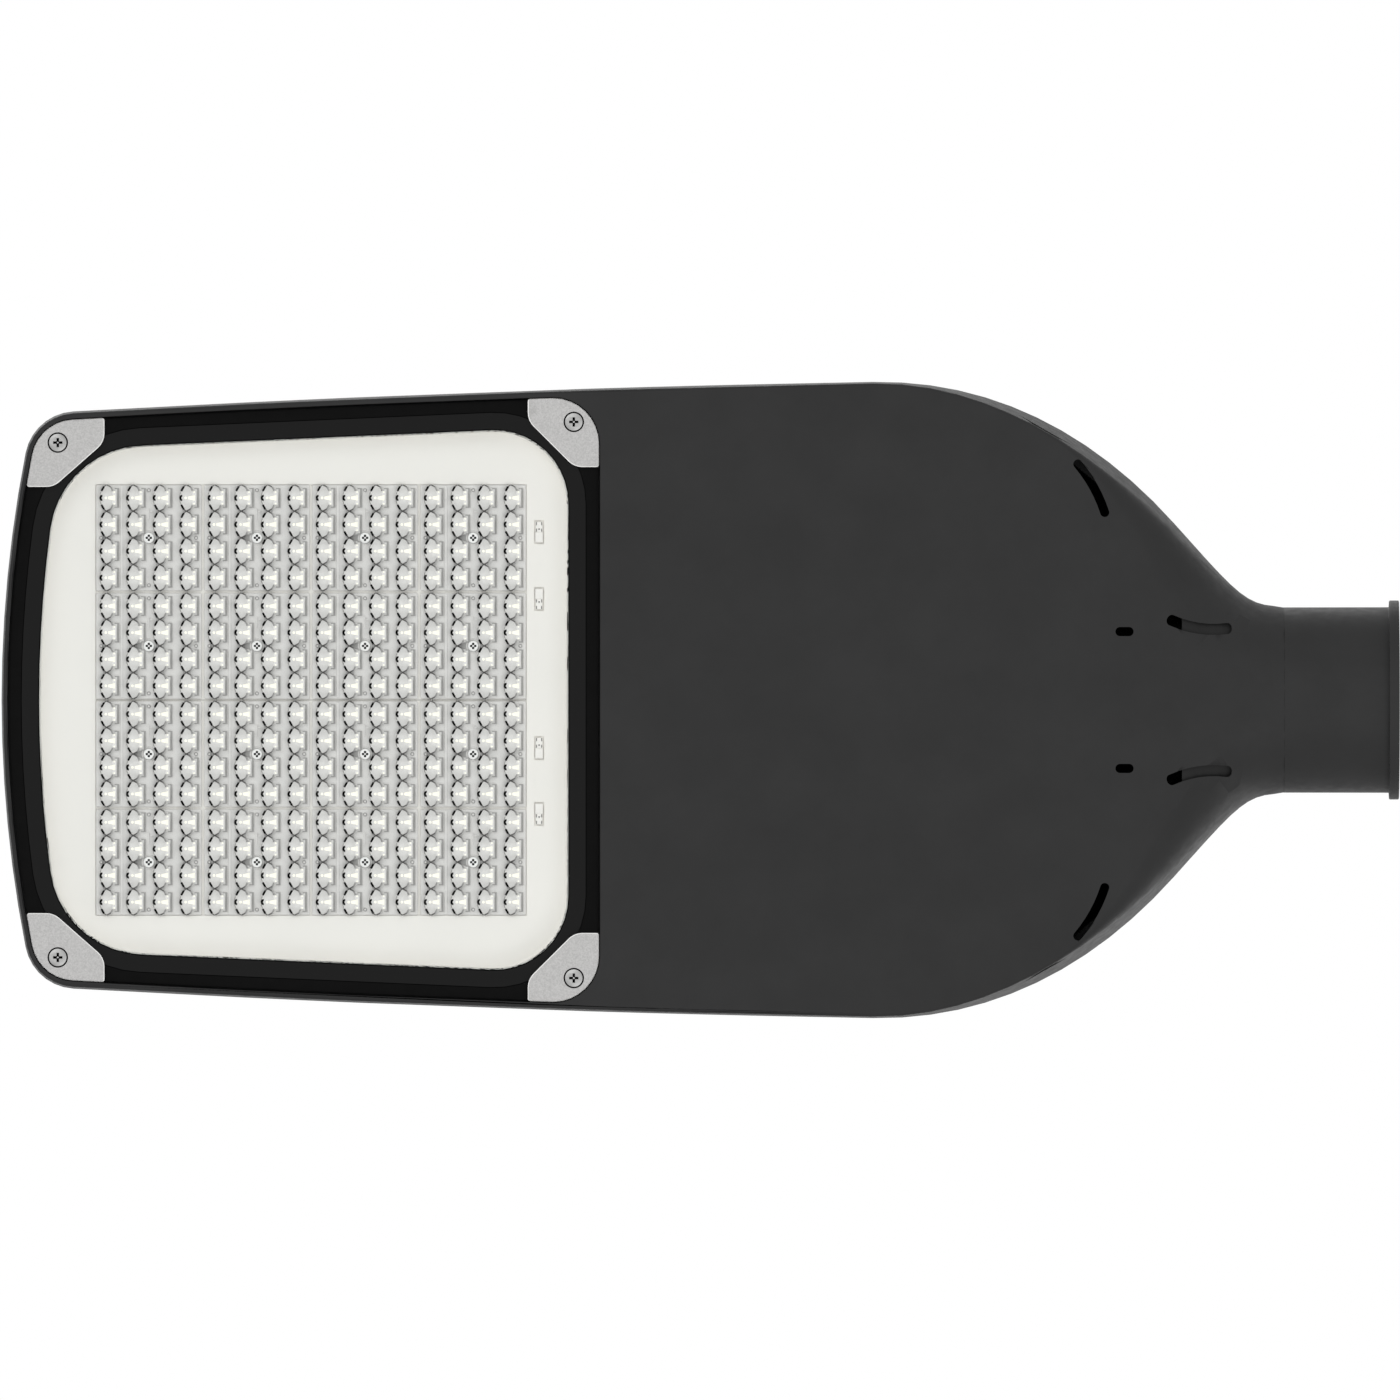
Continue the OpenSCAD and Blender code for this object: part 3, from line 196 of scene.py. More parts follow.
def modify(piece, kind, **settings):
    """Adds a modifier and applies it."""
    select_only(piece)
    modifier = piece.modifiers.new(kind.lower(), kind)
    for key, value in settings.items():
        setattr(modifier, key, value)
    bpy.ops.object.modifier_apply(modifier=modifier.name)
    return piece


def cut(piece, tool, operation="DIFFERENCE"):
    """Cuts, joins or keeps what two blanks share, and uses the tool up."""
    modify(piece, "BOOLEAN", object=tool, operation=operation, solver="EXACT")
    bpy.data.objects.remove(tool)
    return piece


def break_edges(piece, width, steps=2):
    """Rounds every sharp edge by a small radius."""
    return modify(piece, "BEVEL", width=width, segments=steps, limit_method="ANGLE",
                  angle_limit=math.radians(30), use_clamp_overlap=False, miter_outer="MITER_ARC")


def break_edges_where(piece, width, angle, wanted):
    """Rounds the sharp edges that lie in a place."""
    select_only(piece)
    bpy.ops.object.mode_set(mode="EDIT")
    bpy.ops.mesh.select_mode(type="EDGE")
    bpy.ops.mesh.select_all(action="DESELECT")
    bpy.ops.mesh.edges_select_sharp(sharpness=math.radians(angle))
    bpy.ops.object.mode_set(mode="OBJECT")
    points = piece.data.vertices
    for edge in piece.data.edges:
        if edge.select and not wanted((points[edge.vertices[0]].co + points[edge.vertices[1]].co) / 2):
            edge.select = False
    bpy.ops.object.mode_set(mode="EDIT")
    bpy.ops.transform.edge_bevelweight(value=1)
    bpy.ops.object.mode_set(mode="OBJECT")
    return modify(piece, "BEVEL", width=width, segments=2, limit_method="WEIGHT",
                  use_clamp_overlap=False, miter_outer="MITER_ARC")


def smooth(piece, angle=35):
    select_only(piece)
    bpy.ops.object.shade_smooth_by_angle(angle=math.radians(angle))
    return piece


def select_faces(piece, wanted):
    """Leaves edit mode open with only the wanted faces selected."""
    select_only(piece)
    bpy.ops.object.mode_set(mode="EDIT")
    bpy.ops.mesh.select_mode(type="FACE")
    bpy.ops.mesh.select_all(action="DESELECT")
    bpy.ops.object.mode_set(mode="OBJECT")
    for face in piece.data.polygons:
        face.select = wanted(face.center, face.normal)
    bpy.ops.object.mode_set(mode="EDIT")


def close_edit():
    bpy.ops.object.mode_set(mode="OBJECT")


def duplicate(piece, name, move=(0, 0, 0)):
    """A copy with a mesh of its own, moved to its place."""
    twin = piece.copy()
    twin.data = piece.data.copy()
    twin.name = name
    twin.data.name = name
    bpy.context.scene.collection.objects.link(twin)
    twin.location = Vector(move)
    return settle(twin)


def join(name, pieces):
    bpy.ops.object.select_all(action="DESELECT")
    for piece in pieces:
        piece.select_set(True)
    bpy.context.view_layer.objects.active = pieces[0]
    bpy.ops.object.join()
    pieces[0].name = name
    pieces[0].data.name = name
    return pieces[0]


def cast_copy(node, name):
    """A clean copy of a CAD solid: doubles merged, flat areas made one face."""
    piece = duplicate(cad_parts[node], name)
    piece.parent = None
    select_only(piece)
    bpy.ops.object.mode_set(mode="EDIT")
    bpy.ops.mesh.select_all(action="SELECT")
    bpy.ops.mesh.remove_doubles(threshold=0.00001)
    bpy.ops.mesh.dissolve_limited(angle_limit=math.radians(0.5))
    close_edit()
    return piece


class Value:
    """A shader socket that takes part in sums."""

    def __init__(self, finish, socket):
        self.finish, self.socket = finish, socket

    def maths(self, operation, first, second):
        return self.finish.node("ShaderNodeMath", {"operation": operation}, first, second)

    def __add__(self, other):
        return self.maths("ADD", self, other)

    __radd__ = __add__

    def __mul__(self, other):
        return self.maths("MULTIPLY", self, other)

    __rmul__ = __mul__

    def __sub__(self, other):
        return self.maths("SUBTRACT", self, other)

    def __rsub__(self, other):
        return self.maths("SUBTRACT", other, self)


class Finish:
    """A material of one Principled shader, with nodes added by type."""

    def __init__(self, name, colour, roughness, metallic=0.0, **fixed):
        self.material = bpy.data.materials.new(name)
        self.material.use_nodes = True
        self.tree = self.material.node_tree
        self.shader = self.tree.nodes["Principled BSDF"]
        self.output = self.tree.nodes["Material Output"]
        self.material.diffuse_color = (*colour, 1)
        self.set("Base Color", (*colour, 1))
        self.set("Roughness", roughness)
        self.set("Metallic", metallic)
        for key, value in fixed.items():
            self.set(key.replace("_", " "), value)
        self.point = self.node("ShaderNodeTexCoord", {}, output="Object")

    def put(self, socket, value):
        if isinstance(value, Value):
            self.tree.links.new(value.socket, socket)
        elif value is not None:
            socket.default_value = value

    def set(self, name, value):
        self.put(self.shader.inputs[name], value)

    def node(self, kind, settings, *inputs, output=0, **named):
        made = self.tree.nodes.new(kind)
        for key, value in settings.items():
            setattr(made, key, value)
        for socket, value in zip(made.inputs, inputs):
            self.put(socket, value)
        for key, value in named.items():
            self.put(made.inputs[key], value)
        return Value(self, made.outputs[output])

    def noise(self, scale, detail=3.0, roughness=0.5):
        return self.node("ShaderNodeTexNoise", {}, Vector=self.point, Scale=scale,
                         Detail=detail, Roughness=roughness)

    def spread(self, value, low, high, to_low=0.0, to_high=1.0):
        return self.node("ShaderNodeMapRange", {}, value, low, high, to_low, to_high)

    def blend(self, share, first, second):
        made = self.tree.nodes.new("ShaderNodeMix")
        made.data_type = "RGBA"
        for index, value in ((0, share), (6, first), (7, second)):
            self.put(made.inputs[index], value)
        return Value(self, made.outputs[2])

    def bump(self, height, strength, distance):
        self.set("Normal", self.node("ShaderNodeBump", {}, Strength=strength,
                                     Distance=distance, Height=height))


def grey(level, warm=0.0):
    return (level * (1 + warm), level, level * (1 - warm))


def tone(colour, factor):
    return (*(min(1.0, part * factor) for part in colour[:3]), 1)


def mottled(finish, colour, scale, amount):
    """Lets the colour wander a little over the surface."""
    share = finish.spread(finish.noise(scale), 0.3, 0.7)
    finish.set("Base Color", finish.blend(share, tone(colour, 1 - amount), tone(colour, 1 + amount)))


def powder_coat(name, colour):
    """Dark powder coat on a casting: a fine orange peel with a slow swell of the casting under it."""
    finish = Finish(name, colour, 0.5, Specular_IOR_Level=0.07)
    mottled(finish, colour, 35, 0.06)
    peel = finish.noise(1500, 2.0)
    swell = finish.noise(90, 2.0)
    finish.set("Roughness", finish.spread(finish.noise(220), 0.3, 0.7, 0.44, 0.56))
    finish.bump(peel + swell * 2.0, 0.25, 0.00006)
    return finish.material


def moulded(name, colour, roughness=0.45, **fixed):
    """Moulded plastic or rubber with a slight texture."""
    grain = 700
    finish = Finish(name, colour, roughness, **fixed)
    mottled(finish, colour, 120, 0.03)
    wear = finish.spread(finish.noise(grain / 3), 0.3, 0.7, roughness - 0.05, roughness + 0.07)
    finish.set("Roughness", wear)
    finish.bump(finish.noise(grain), 0.12, 0.00005)
    return finish.material


def blasted_metal(name, colour):
    """Fine-blasted aluminium: an even satin with a sparkle of small pits."""
    finish = Finish(name, colour, 0.42, metallic=0.4)
    grain = finish.noise(1500, 3.0, 0.6)
    share = finish.spread(grain, 0.35, 0.65)
    finish.set("Base Color", finish.blend(share, tone(colour, 0.86), tone(colour, 1.14)))
    finish.set("Roughness", finish.spread(grain, 0.3, 0.7, 0.4, 0.55))
    finish.bump(finish.noise(2600, 2.0), 0.3, 0.00004)
    return finish.material


def turned_steel(name, colour, roughness=0.32):
    finish = Finish(name, colour, roughness, metallic=0.9)
    mottled(finish, colour, 300, 0.08)
    finish.bump(finish.noise(1800, 2.0), 0.1, 0.00003)
    return finish.material


def white_coat(name, colour, roughness=0.6):
    finish = Finish(name, colour, roughness, Specular_IOR_Level=0.3)
    mottled(finish, colour, 18, 0.012)
    finish.bump(finish.noise(900), 0.08, 0.00004)
    return finish.material


def window_clear():
    """Clear glass: what lies behind passes through, and the surface gives a weak mirror."""
    finish = Finish("window_clear", (0.95, 0.96, 0.96), 0.02, metallic=1.0)
    tree = finish.tree
    tint = tree.nodes.new("ShaderNodeBsdfTransparent")
    tint.inputs["Color"].default_value = (0.99, 0.995, 0.992, 1)
    mirror = finish.node("ShaderNodeLayerWeight", {}, Blend=0.12, output="Fresnel")
    mix = tree.nodes.new("ShaderNodeMixShader")
    finish.put(mix.inputs[0], mirror * 0.5)
    tree.links.new(tint.outputs[0], mix.inputs[1])
    tree.links.new(finish.shader.outputs[0], mix.inputs[2])
    tree.links.new(mix.outputs[0], finish.output.inputs["Surface"])
    return finish.material


def lens_acrylic(name, level, alpha, roughness=0.12, gloss=0.3):
    finish = Finish(name, grey(level, 0.015), roughness, Specular_IOR_Level=gloss)
    finish.set("Alpha", finish.spread(finish.noise(260), 0.3, 0.7, alpha - 0.03, alpha + 0.03))
    return finish.material


body_paint = powder_coat("body_paint", (0.0328, 0.0328, 0.033))
# A darker copy of the body paint for the slot floors beside the socket: painted shade
slot_floor_painted_shade = powder_coat("slot_floor_painted_shade", grey(0.024))
black_rubber = moulded("black_rubber", (0.0052, 0.0052, 0.0052), 0.65, Specular_IOR_Level=0.03)
bracket_metal = blasted_metal("bracket_metal", (0.424, 0.42, 0.414))
# Bright metal for the bracket chamfers: partly machined metal, partly a painted highlight
chamfer_metal_and_painted_highlight = turned_steel("chamfer_metal_and_painted_highlight", (0.9, 0.895, 0.88), 0.35)
screw_steel = turned_steel("screw_steel", (0.32, 0.32, 0.315), 0.4)
screw_white = moulded("screw_white", (0.95, 0.95, 0.94), 0.35)
# Near-black for painted shade: in the screw crosses, on the cones of the clamp screws, in the gap round
# the bracket screws and as a rim line on the glass
recess_painted_shade = moulded("recess_painted_shade", (0.006, 0.006, 0.006), 0.7, Specular_IOR_Level=0.0)
white_sheet = white_coat("white_sheet", (0.94, 0.92, 0.885))
# A brighter white for the top of the tray's upright edge: a painted highlight
sheet_edge_painted_highlight = white_coat("sheet_edge_painted_highlight", (1.0, 0.99, 0.94), 0.3)
board_white = white_coat("board_white", (0.94, 0.92, 0.885), 0.45)
white_plastic = moulded("white_plastic", (0.95, 0.93, 0.9), 0.4)
# Grey for painted shade in the connector slots and test holes
slot_painted_shade = moulded("slot_painted_shade", (0.3, 0.295, 0.29), 0.6)
driver_case = turned_steel("driver_case", (0.42, 0.43, 0.44), 0.4)
blue_plastic = moulded("blue_plastic", (0.05, 0.12, 0.28))
cream_plastic = moulded("cream_plastic", (0.7, 0.68, 0.6))
black_plastic = moulded("black_plastic", (0.015, 0.015, 0.015))
brass = turned_steel("brass", (0.7, 0.52, 0.22))
glass_enamel = Finish("glass_enamel", (0.0128, 0.0128, 0.0128), 0.12, Specular_IOR_Level=0.05).material
glass_clear = window_clear()
lens_clear = lens_acrylic("lens_clear", 0.885, 0.9)
lens_dome = lens_acrylic("lens_dome", 0.85, 0.88, 0.08)
# A faint glow on parts that are no lamp: painted light where the lens shows its source
lens_painted_glow = Finish("lens_painted_glow", (1.0, 0.98, 0.88), 0.25, Emission_Color=(1.0, 0.97, 0.86, 1),
                   Emission_Strength=0.17).material
# Painted highlight on the prisms, webs and arms of the optics
lens_painted_highlight = lens_acrylic("lens_painted_highlight", 0.87, 0.95)
# Near-black painted shade for the lens streaks and rings
lens_painted_shade = lens_acrylic("lens_painted_shade", 0.006, 0.97, 0.3, gloss=0.0)
# Grey painted shade for lines along lens edges and for the braces; its zone is EDGE
lens_edge_painted_shade = lens_acrylic("lens_edge_painted_shade", 0.17, 0.95, 0.3, gloss=0.0)
# Mid-grey painted half shade for streaks, groove lines, pegs and gussets
lens_painted_half_shade = lens_acrylic("lens_painted_half_shade", 0.42, 0.95, 0.3, gloss=0.05)

# Material zones of one optic: its clear plastic and its domes, then painted glow, painted highlight,
# painted shade, painted shade along edges (EDGE) and painted half shade
OPTIC_ZONES = (lens_clear, lens_dome, lens_painted_glow, lens_painted_highlight, lens_painted_shade, lens_edge_painted_shade, lens_painted_half_shade)
CLEAR, DOME, PAINTED_GLOW, PAINTED_HIGHLIGHT, PAINTED_SHADE, EDGE, PAINTED_HALF_SHADE = range(7)


def dress(piece, slot, *nodes):
    """Gives a finished piece its body, and hides the nodes that it stands for; its slot is not used."""
    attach(piece, "root")
    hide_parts(*nodes)
    return piece


def by_drain_slots(at):
    """Whether a place is in the part of the underside that holds the drain slots."""
    return at.x > DRAIN_FROM and abs(at.y) < DRAIN_HALF_WIDTH and at.z < DRAIN_TOP


def casting(node, name):
    """A die casting with rounded edges. The drain slots keep theirs sharp."""
    piece = cast_copy(node, name)
    return break_edges_where(piece, CAST_EDGE, 32, lambda at: not by_drain_slots(at))


def painted_casting(piece, node):
    """Soft shading and paint for a casting."""
    smooth(give(piece, body_paint), 32)
    modify(piece, "WEIGHTED_NORMAL", keep_sharp=True, weight=60)
    return dress(piece, "body_paint", node)


def underside(x, y):
    """Height of the housing's underside at a place in plan."""
    below = Vector((x, y, cad_box[0].z - 0.01))
    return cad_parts["housing"].ray_cast(below, Vector((0, 0, 1)))[1].z


def widen_socket_slots(piece):
    """Makes the bent slots beside the socket as wide as the photograph shows them."""
    for vertex in piece.data.vertices:
        x, y, z = vertex.co
        side = math.copysign(1, y)
        away = math.hypot(x - SLOT_X, side * y - SLOT_Y)
        off = away - SLOT_R
        if abs(off) > SLOT_REACH or z > SLOT_WALL_TOP or not SLOT_FROM < x < SLOT_TO:
            continue
        share = off / away * (SLOT_WIDER - 1)
        outwards = (side * y - SLOT_Y) * share
        rise = underside(x, side * FLOOR_OUTER) - underside(x, side * FLOOR_INNER)
        slope = rise / (FLOOR_OUTER - FLOOR_INNER) if z < SLOT_MOUTH else 0
        vertex.co += Vector(((x - SLOT_X) * share, side * outwards, outwards * slope))


def slot_floor(side):
    """The floor that shows in the shallow part of a bent slot beside the socket."""
    bpy.ops.object.select_all(action="DESELECT")
    bpy.ops.mesh.primitive_grid_add(
        x_subdivisions=FLOOR_STEPS, y_subdivisions=1, size=1,
        location=((FLOOR_FROM + FLOOR_TO) / 2, side * (FLOOR_INNER + FLOOR_OUTER) / 2, 0))
    bpy.context.active_object.scale = (FLOOR_TO - FLOOR_FROM, FLOOR_OUTER - FLOOR_INNER, 1)
    piece = added("slot_floor")
    for vertex in piece.data.vertices:
        vertex.co.z = underside(vertex.co.x, vertex.co.y) + FLOOR_DEPTH
    modify(piece, "SOLIDIFY", thickness=FLOOR_THICK, offset=0)
    select_only(piece)
    bpy.ops.object.mode_set(mode="EDIT")
    bpy.ops.mesh.select_all(action="SELECT")
    bpy.ops.mesh.normals_make_consistent(inside=False)
    close_edit()
    return piece


def fair_neck(piece):
    """Draws the end of the neck in to the socket tube."""
    for vertex in piece.data.vertices:
        radius = math.hypot(vertex.co.y, vertex.co.z)
        if abs(vertex.co.x + NECK_END) < 0.0008 and TUBE_R < radius < TUBE_R + 0.001:
            vertex.co.y *= TUBE_R / radius
            vertex.co.z *= TUBE_R / radius


def housing():
    """The housing, with painted shade on the floors of its slots beside the socket: they get a darker copy
    of the body paint.
    """
    piece = casting("housing", "housing_casting")
    fair_neck(piece)
    widen_socket_slots(piece)
    walls = len(piece.data.polygons)
    piece = painted_casting(join("housing_casting", [piece, slot_floor(-1), slot_floor(1)]), "housing")
    # The slot floors get the darker paint: painted shade
    piece.data.materials.append(slot_floor_painted_shade)
    for face in piece.data.polygons[walls:]:
        face.material_index = 1


def gear_cover():
    """The cover, with lips that close most of the gap at its ends, where its seal does not reach."""
    piece = casting("gear_cover", "cover_casting")
    low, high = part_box("gear_cover")
    seal_low, seal_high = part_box("gear_cover_seal")
    seal_from, seal_to = seal_low.x + 0.0003, seal_high.x + 0.001
    edge = CAST_EDGE + 0.0001
    for vertex in piece.data.vertices:
        if vertex.co.x > high.x - edge:
            vertex.co.x += COVER_LIP
        elif vertex.co.x < low.x + edge:
            vertex.co.x -= COVER_LIP
        if vertex.co.z < low.z + edge and not seal_from < vertex.co.x < seal_to:
            vertex.co.z -= COVER_DROP
    painted_casting(piece, "gear_cover")


def reflector_tray():
    """The white tray. The top of its upright edge gets a brighter white, a painted highlight that shows as
    a thin line round the window.
    """
    piece = give(cast_copy("reflector_plate", "reflector_tray"), white_sheet, sheet_edge_painted_highlight)
    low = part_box("reflector_plate")[0]
    # Faces at the top of the upright edge get the painted highlight
    for face in piece.data.polygons:
        face.material_index = int(face.normal.z < -0.9 and face.center.z < low.z + 0.0003)
    dress(piece, "white_sheet", "reflector_plate")


def window_glass():
    """The glass: enamel as a border of its own faces, a black rim line of painted shade, and clear inside
    it.
    """
    piece = give(cast_copy("glass_cover", "window_glass"), glass_enamel, glass_clear, recess_painted_shade)
    mark_all(piece, 0)
    select_faces(piece, lambda centre, normal: abs(normal.z) > 0.9)
    # The ring between the two insets keeps the near-black: a rim line of painted shade inside the enamel
    for width, material in ((GLASS_BORDER, 2), (GLASS_RIM, 1)):
        bpy.ops.mesh.inset(thickness=width, use_individual=True)
        piece.active_material_index = material
        bpy.ops.object.material_slot_assign()
    close_edit()
    dress(piece, "clear_glass", "glass_cover")


def screw_place(bracket):
    """Middle of the screw that goes through a bracket."""
    low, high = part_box(bracket)
    spots = [vertex.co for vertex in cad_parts["bracket_screws"].data.vertices
             if low.x < vertex.co.x < high.x and low.y < vertex.co.y < high.y]
    xs, ys = [spot.x for spot in spots], [spot.y for spot in spots]
    return Vector(((min(xs) + max(xs)) / 2, (min(ys) + max(ys)) / 2))


def corner_bracket(node):
    """A clamp with a chamfer round its face in a brighter metal, partly machined metal and partly a
    painted highlight, and painted shade in the gap round its screw.
    """
    piece = cast_copy(node, node.replace("corner_bracket", "bracket"))
    give(piece, bracket_metal, chamfer_metal_and_painted_highlight, recess_painted_shade)
    face_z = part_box(node)[0].z
    middle = screw_place(node)
    select_faces(piece, lambda centre, normal: normal.z < -0.99 and centre.z < face_z + 0.0002)
    bpy.ops.mesh.inset(thickness=BRACKET_CHAMFER, use_boundary=True)
    close_edit()
    inner = {number for face in piece.data.polygons if face.select for number in face.vertices}
    for vertex in piece.data.vertices:
        away = vertex.co.xy - middle
        by_screw = away.length < SCREW_CLEAR_R
        if vertex.index in inner and by_screw:
            vertex.co.xy = middle + away.normalized() * SCREW_GAP_R
        elif vertex.index not in inner and not by_screw and vertex.co.z < face_z + 0.0001:
            vertex.co.z += BRACKET_CHAMFER_HIGH
    # The chamfer gets the brighter metal, partly a painted highlight; faces in the gap round the screw get
    # painted shade
    for face in piece.data.polygons:
        away = (face.center.xy - middle).length
        rim = not face.select
        chamfer = rim and away > SCREW_CLEAR_R and face.center.z < face_z + BRACKET_CHAMFER
        gap = rim and away < SCREW_GAP_R + 0.00015 and face.center.z < face_z + 0.004
        face.material_index = 1 if chamfer else 2 if gap else 0
    dress(smooth(piece, 30), "bracket_metal", node)


def cross_recess(head, x, y, face, depth, reach, half_width):
    """Sinks a cross into a screw head that faces down. Its wings get painted shade."""
    give(head, screw_steel, recess_painted_shade)
    for long, wide in ((reach, half_width), (half_width, reach)):
        wing = blank("wing", (x - long, y - wide, face - 0.0005), (x + long, y + wide, face + depth))
        select_faces(wing, lambda centre, normal: normal.z > 0.9)
        bpy.ops.transform.resize(value=(0.7, 0.7, 1))
        close_edit()
        # The cut faces of each wing get the near-black: painted shade
        cut(head, mark_all(give(wing, screw_steel, recess_painted_shade), 1))


def clamp_screw(place, face):
    """A countersunk head with a cross, flush with its bracket, and its shank."""
    radius, shank, middle_r, depth, length = 0.0041, 0.0025, 0.00042, 0.0019, 0.015
    cone = radius - shank + 0.0004
    x, y = place
    head = drum("clamp_screw", shank, face, face + cone, x, y, tip_radius=radius)
    break_edges(head, 0.00012)
    cross_recess(head, x, y, face, depth, reach=0.0023, half_width=0.00062)
    # The cone of the head gets painted shade, a dark ring round the screw
    for side in head.data.polygons:
        if abs(side.normal.z) < 0.9:
            side.material_index = 1
    middle = drum("middle", middle_r, face + 0.0012, face + depth, x, y, sides=16)
    stem = drum("stem", shank, face + cone + 0.0001, face + length, x, y, sides=32)
    return join("clamp_screw", [head, middle, stem])


def clamp_screws():
    """Four clamp screws, one through each bracket."""
    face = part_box("bracket_screws")[0].z
    piece = join("clamp_screws", [clamp_screw(screw_place(node), face) for node in BRACKETS])
    dress(smooth(piece, 30), "screw_steel", "bracket_screws")


def module_places():
    """Middle of each lens module, by its node's name."""
    places = {}
    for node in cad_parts:
        if node.startswith("lens_module_"):
            low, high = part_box(node)
            places[node] = (low + high) / 2
    return places


def lens_steps():
    """Middles of the cells along one side of an optic."""
    return [(i - (LENS_COUNT - 1) / 2) * LENS_PITCH for i in range(LENS_COUNT)]


def pointed(piece, low, high):
    """Keeps of a piece what lies inside the long lens with its pointed ends."""
    off = LENS_ARC - LENS_HALF_WIDTH
    for x in (off, -off):
        side = drum("side", LENS_ARC, low, high, x=x, tip_radius=LENS_ARC - LENS_TAPER, sides=56)
        cut(piece, side, "INTERSECT")
    return piece


def long_lens(tip_z, base_z):
    """The long lens with pointed ends, and the rounder cap on its middle."""
    lens = pointed(ball(0, tip_z + 0.0006, LENS_BALL), tip_z, base_z)
    cap = drum("cap", CAP_R, tip_z, base_z, x=CAP_X)
    cut(cap, ball(CAP_X, tip_z + 0.0001, CAP_BALL), "INTERSECT")
    parts = [zone(lens, DOME), zone(pointed(cap, tip_z, base_z), DOME)]
    return smooth(join("lens", parts), 30)


def open_ring(tip_z, base_z):
    """The ring of painted shade at one end of a lens, open towards the source."""
    outer_r, outer_x, inner_r, inner_x = 0.00145, -0.00205, 0.0006, -0.0019
    open_from, open_half, spare = -0.0021, 0.002, 0.001
    ring = drum("ring", outer_r, tip_z, base_z, x=outer_x, sides=40)
    cut(ring, drum("middle", inner_r, tip_z - spare, base_z + spare, x=inner_x, sides=32))
    cut(ring, blank("open", (open_from, -open_half, tip_z - spare), (0, open_half, base_z + spare)))
    return cut(ring, ball(CAP_X, tip_z, CAP_BALL), "INTERSECT")


def lens_marks(tip_z, base_z):
    """Painted shade for what a lens shows of its board: streaks along both of its pointed ends, and a dark
    open ring.
    """
    # Zone, place, length, width and turn of a streak
    streaks = ((PAINTED_SHADE, -0.00196, 0.00425, 0.00240, 0.00092, 61),
               (EDGE, -0.00100, 0.00552, 0.00120, 0.00045, 45),
               (EDGE, 0.00092, 0.00552, 0.00180, 0.00052, -28),
               (PAINTED_HALF_SHADE, 0.00214, 0.00432, 0.00150, 0.00070, -61),
               (EDGE, -0.00005, 0.00596, 0.00120, 0.00040, 0))
    marks = []
    for number, x, y, long, wide, turn in streaks:
        for way in (-1, 1):
            streak = bar("streak", x, way * y, long, wide, tip_z, base_z, way * turn)
            marks.append(zone(cut(streak, ball(0, tip_z + 0.0005, LENS_BALL), "INTERSECT"), number))
    return [*marks, zone(open_ring(tip_z, base_z), PAINTED_SHADE)]


def wedge(name, near, far, near_half, far_half, low, high):
    """A block whose side towards -X is narrower than the other."""
    piece = blank(name, (near, -far_half, low), (far, far_half, high))
    select_faces(piece, lambda centre, normal: normal.x < -0.9)
    bpy.ops.transform.resize(value=(1, near_half / far_half, 1))
    close_edit()
    return piece


def lens_light(tip_z, base_z):
    """A painted glow where the lens shows its source and beam, and a painted highlight on the prism that
    throws the beam to the side.
    """
    core_r, core_x = 0.00064, -0.0005
    beam_from, beam_to, beam_near_half, beam_far_half = 0.00055, 0.0037, 0.0006, 0.00125
    prism_from, prism_to, prism_half, prism_z = 0.0023, 0.00445, 0.00325, tip_z + 0.00085
    spot_r, spot_x, spot_y, spot_z = 0.00042, 0.0034, 0.0027, tip_z + 0.0008
    core = break_edges(drum("core", core_r, tip_z + 0.00002, base_z, x=core_x, sides=32), 0.00008)
    beam = wedge("beam", beam_from, beam_to, beam_near_half, beam_far_half, tip_z, base_z)
    break_edges(beam, 0.00012)
    cut(beam, ball(0, tip_z, BEAM_BALL), "INTERSECT")
    prism = blank("prism", (prism_from, -prism_half, prism_z), (prism_to, prism_half, base_z))
    break_edges(prism, 0.0003)
    spots = [drum("spot", spot_r, spot_z, base_z, spot_x, y, sides=24) for y in (-spot_y, spot_y)]
    return [zone(core, PAINTED_GLOW), zone(beam, PAINTED_GLOW), zone(prism, PAINTED_HIGHLIGHT), *(zone(spot, PAINTED_GLOW) for spot in spots)]


def lens_shoulder(base_z):
    """The low block beside a lens, with a groove line of painted half shade along its three outer sides.
    """
    near, far, half, top = 0.0022, 0.0058, 0.0046, base_z - 0.0012
    line_x, rail_x, rail_y = 0.0052, 0.0042, 0.0043
    line_from, line_to = top - 0.0001, top + 0.0002
    block = break_edges(blank("shoulder", (near, -half, top), (far, half, base_z)), 0.0002)
    line = bar("line", line_x, 0, 0.0009, 0.0090, line_from, line_to)
    rails = [bar("rail", rail_x, y, 0.0013, 0.00045, line_from, line_to) for y in (-rail_y, rail_y)]
    return [zone(block, CLEAR), zone(line, PAINTED_HALF_SHADE), *(zone(rail, PAINTED_HALF_SHADE) for rail in rails)]


def optic_plate(base_z, top_z):
    """The square base with its screw hole."""
    half, hole_r = MODULE_SIDE / 2, 0.0018
    plate = break_edges(blank("optic", (-half, -half, base_z), (half, half, top_z)), 0.0004)
    return zone(cut(plate, drum("hole", hole_r, base_z - 0.001, top_z + 0.001, sides=32)), CLEAR)


def optic_lenses(tip_z, base_z):
    """Four by four lenses, each with its marks of painted shade, its painted glow and highlight, and its
    shoulder.
    """
    lens = join("lens", [long_lens(tip_z, base_z + 0.0001), *lens_marks(tip_z, base_z),
                         *lens_light(tip_z, base_z), *lens_shoulder(base_z)])
    lenses = [duplicate(lens, "part", (x - LENS_SHIFT, y, 0)) for x in lens_steps() for y in lens_steps()]
    bpy.data.objects.remove(lens)
    return lenses


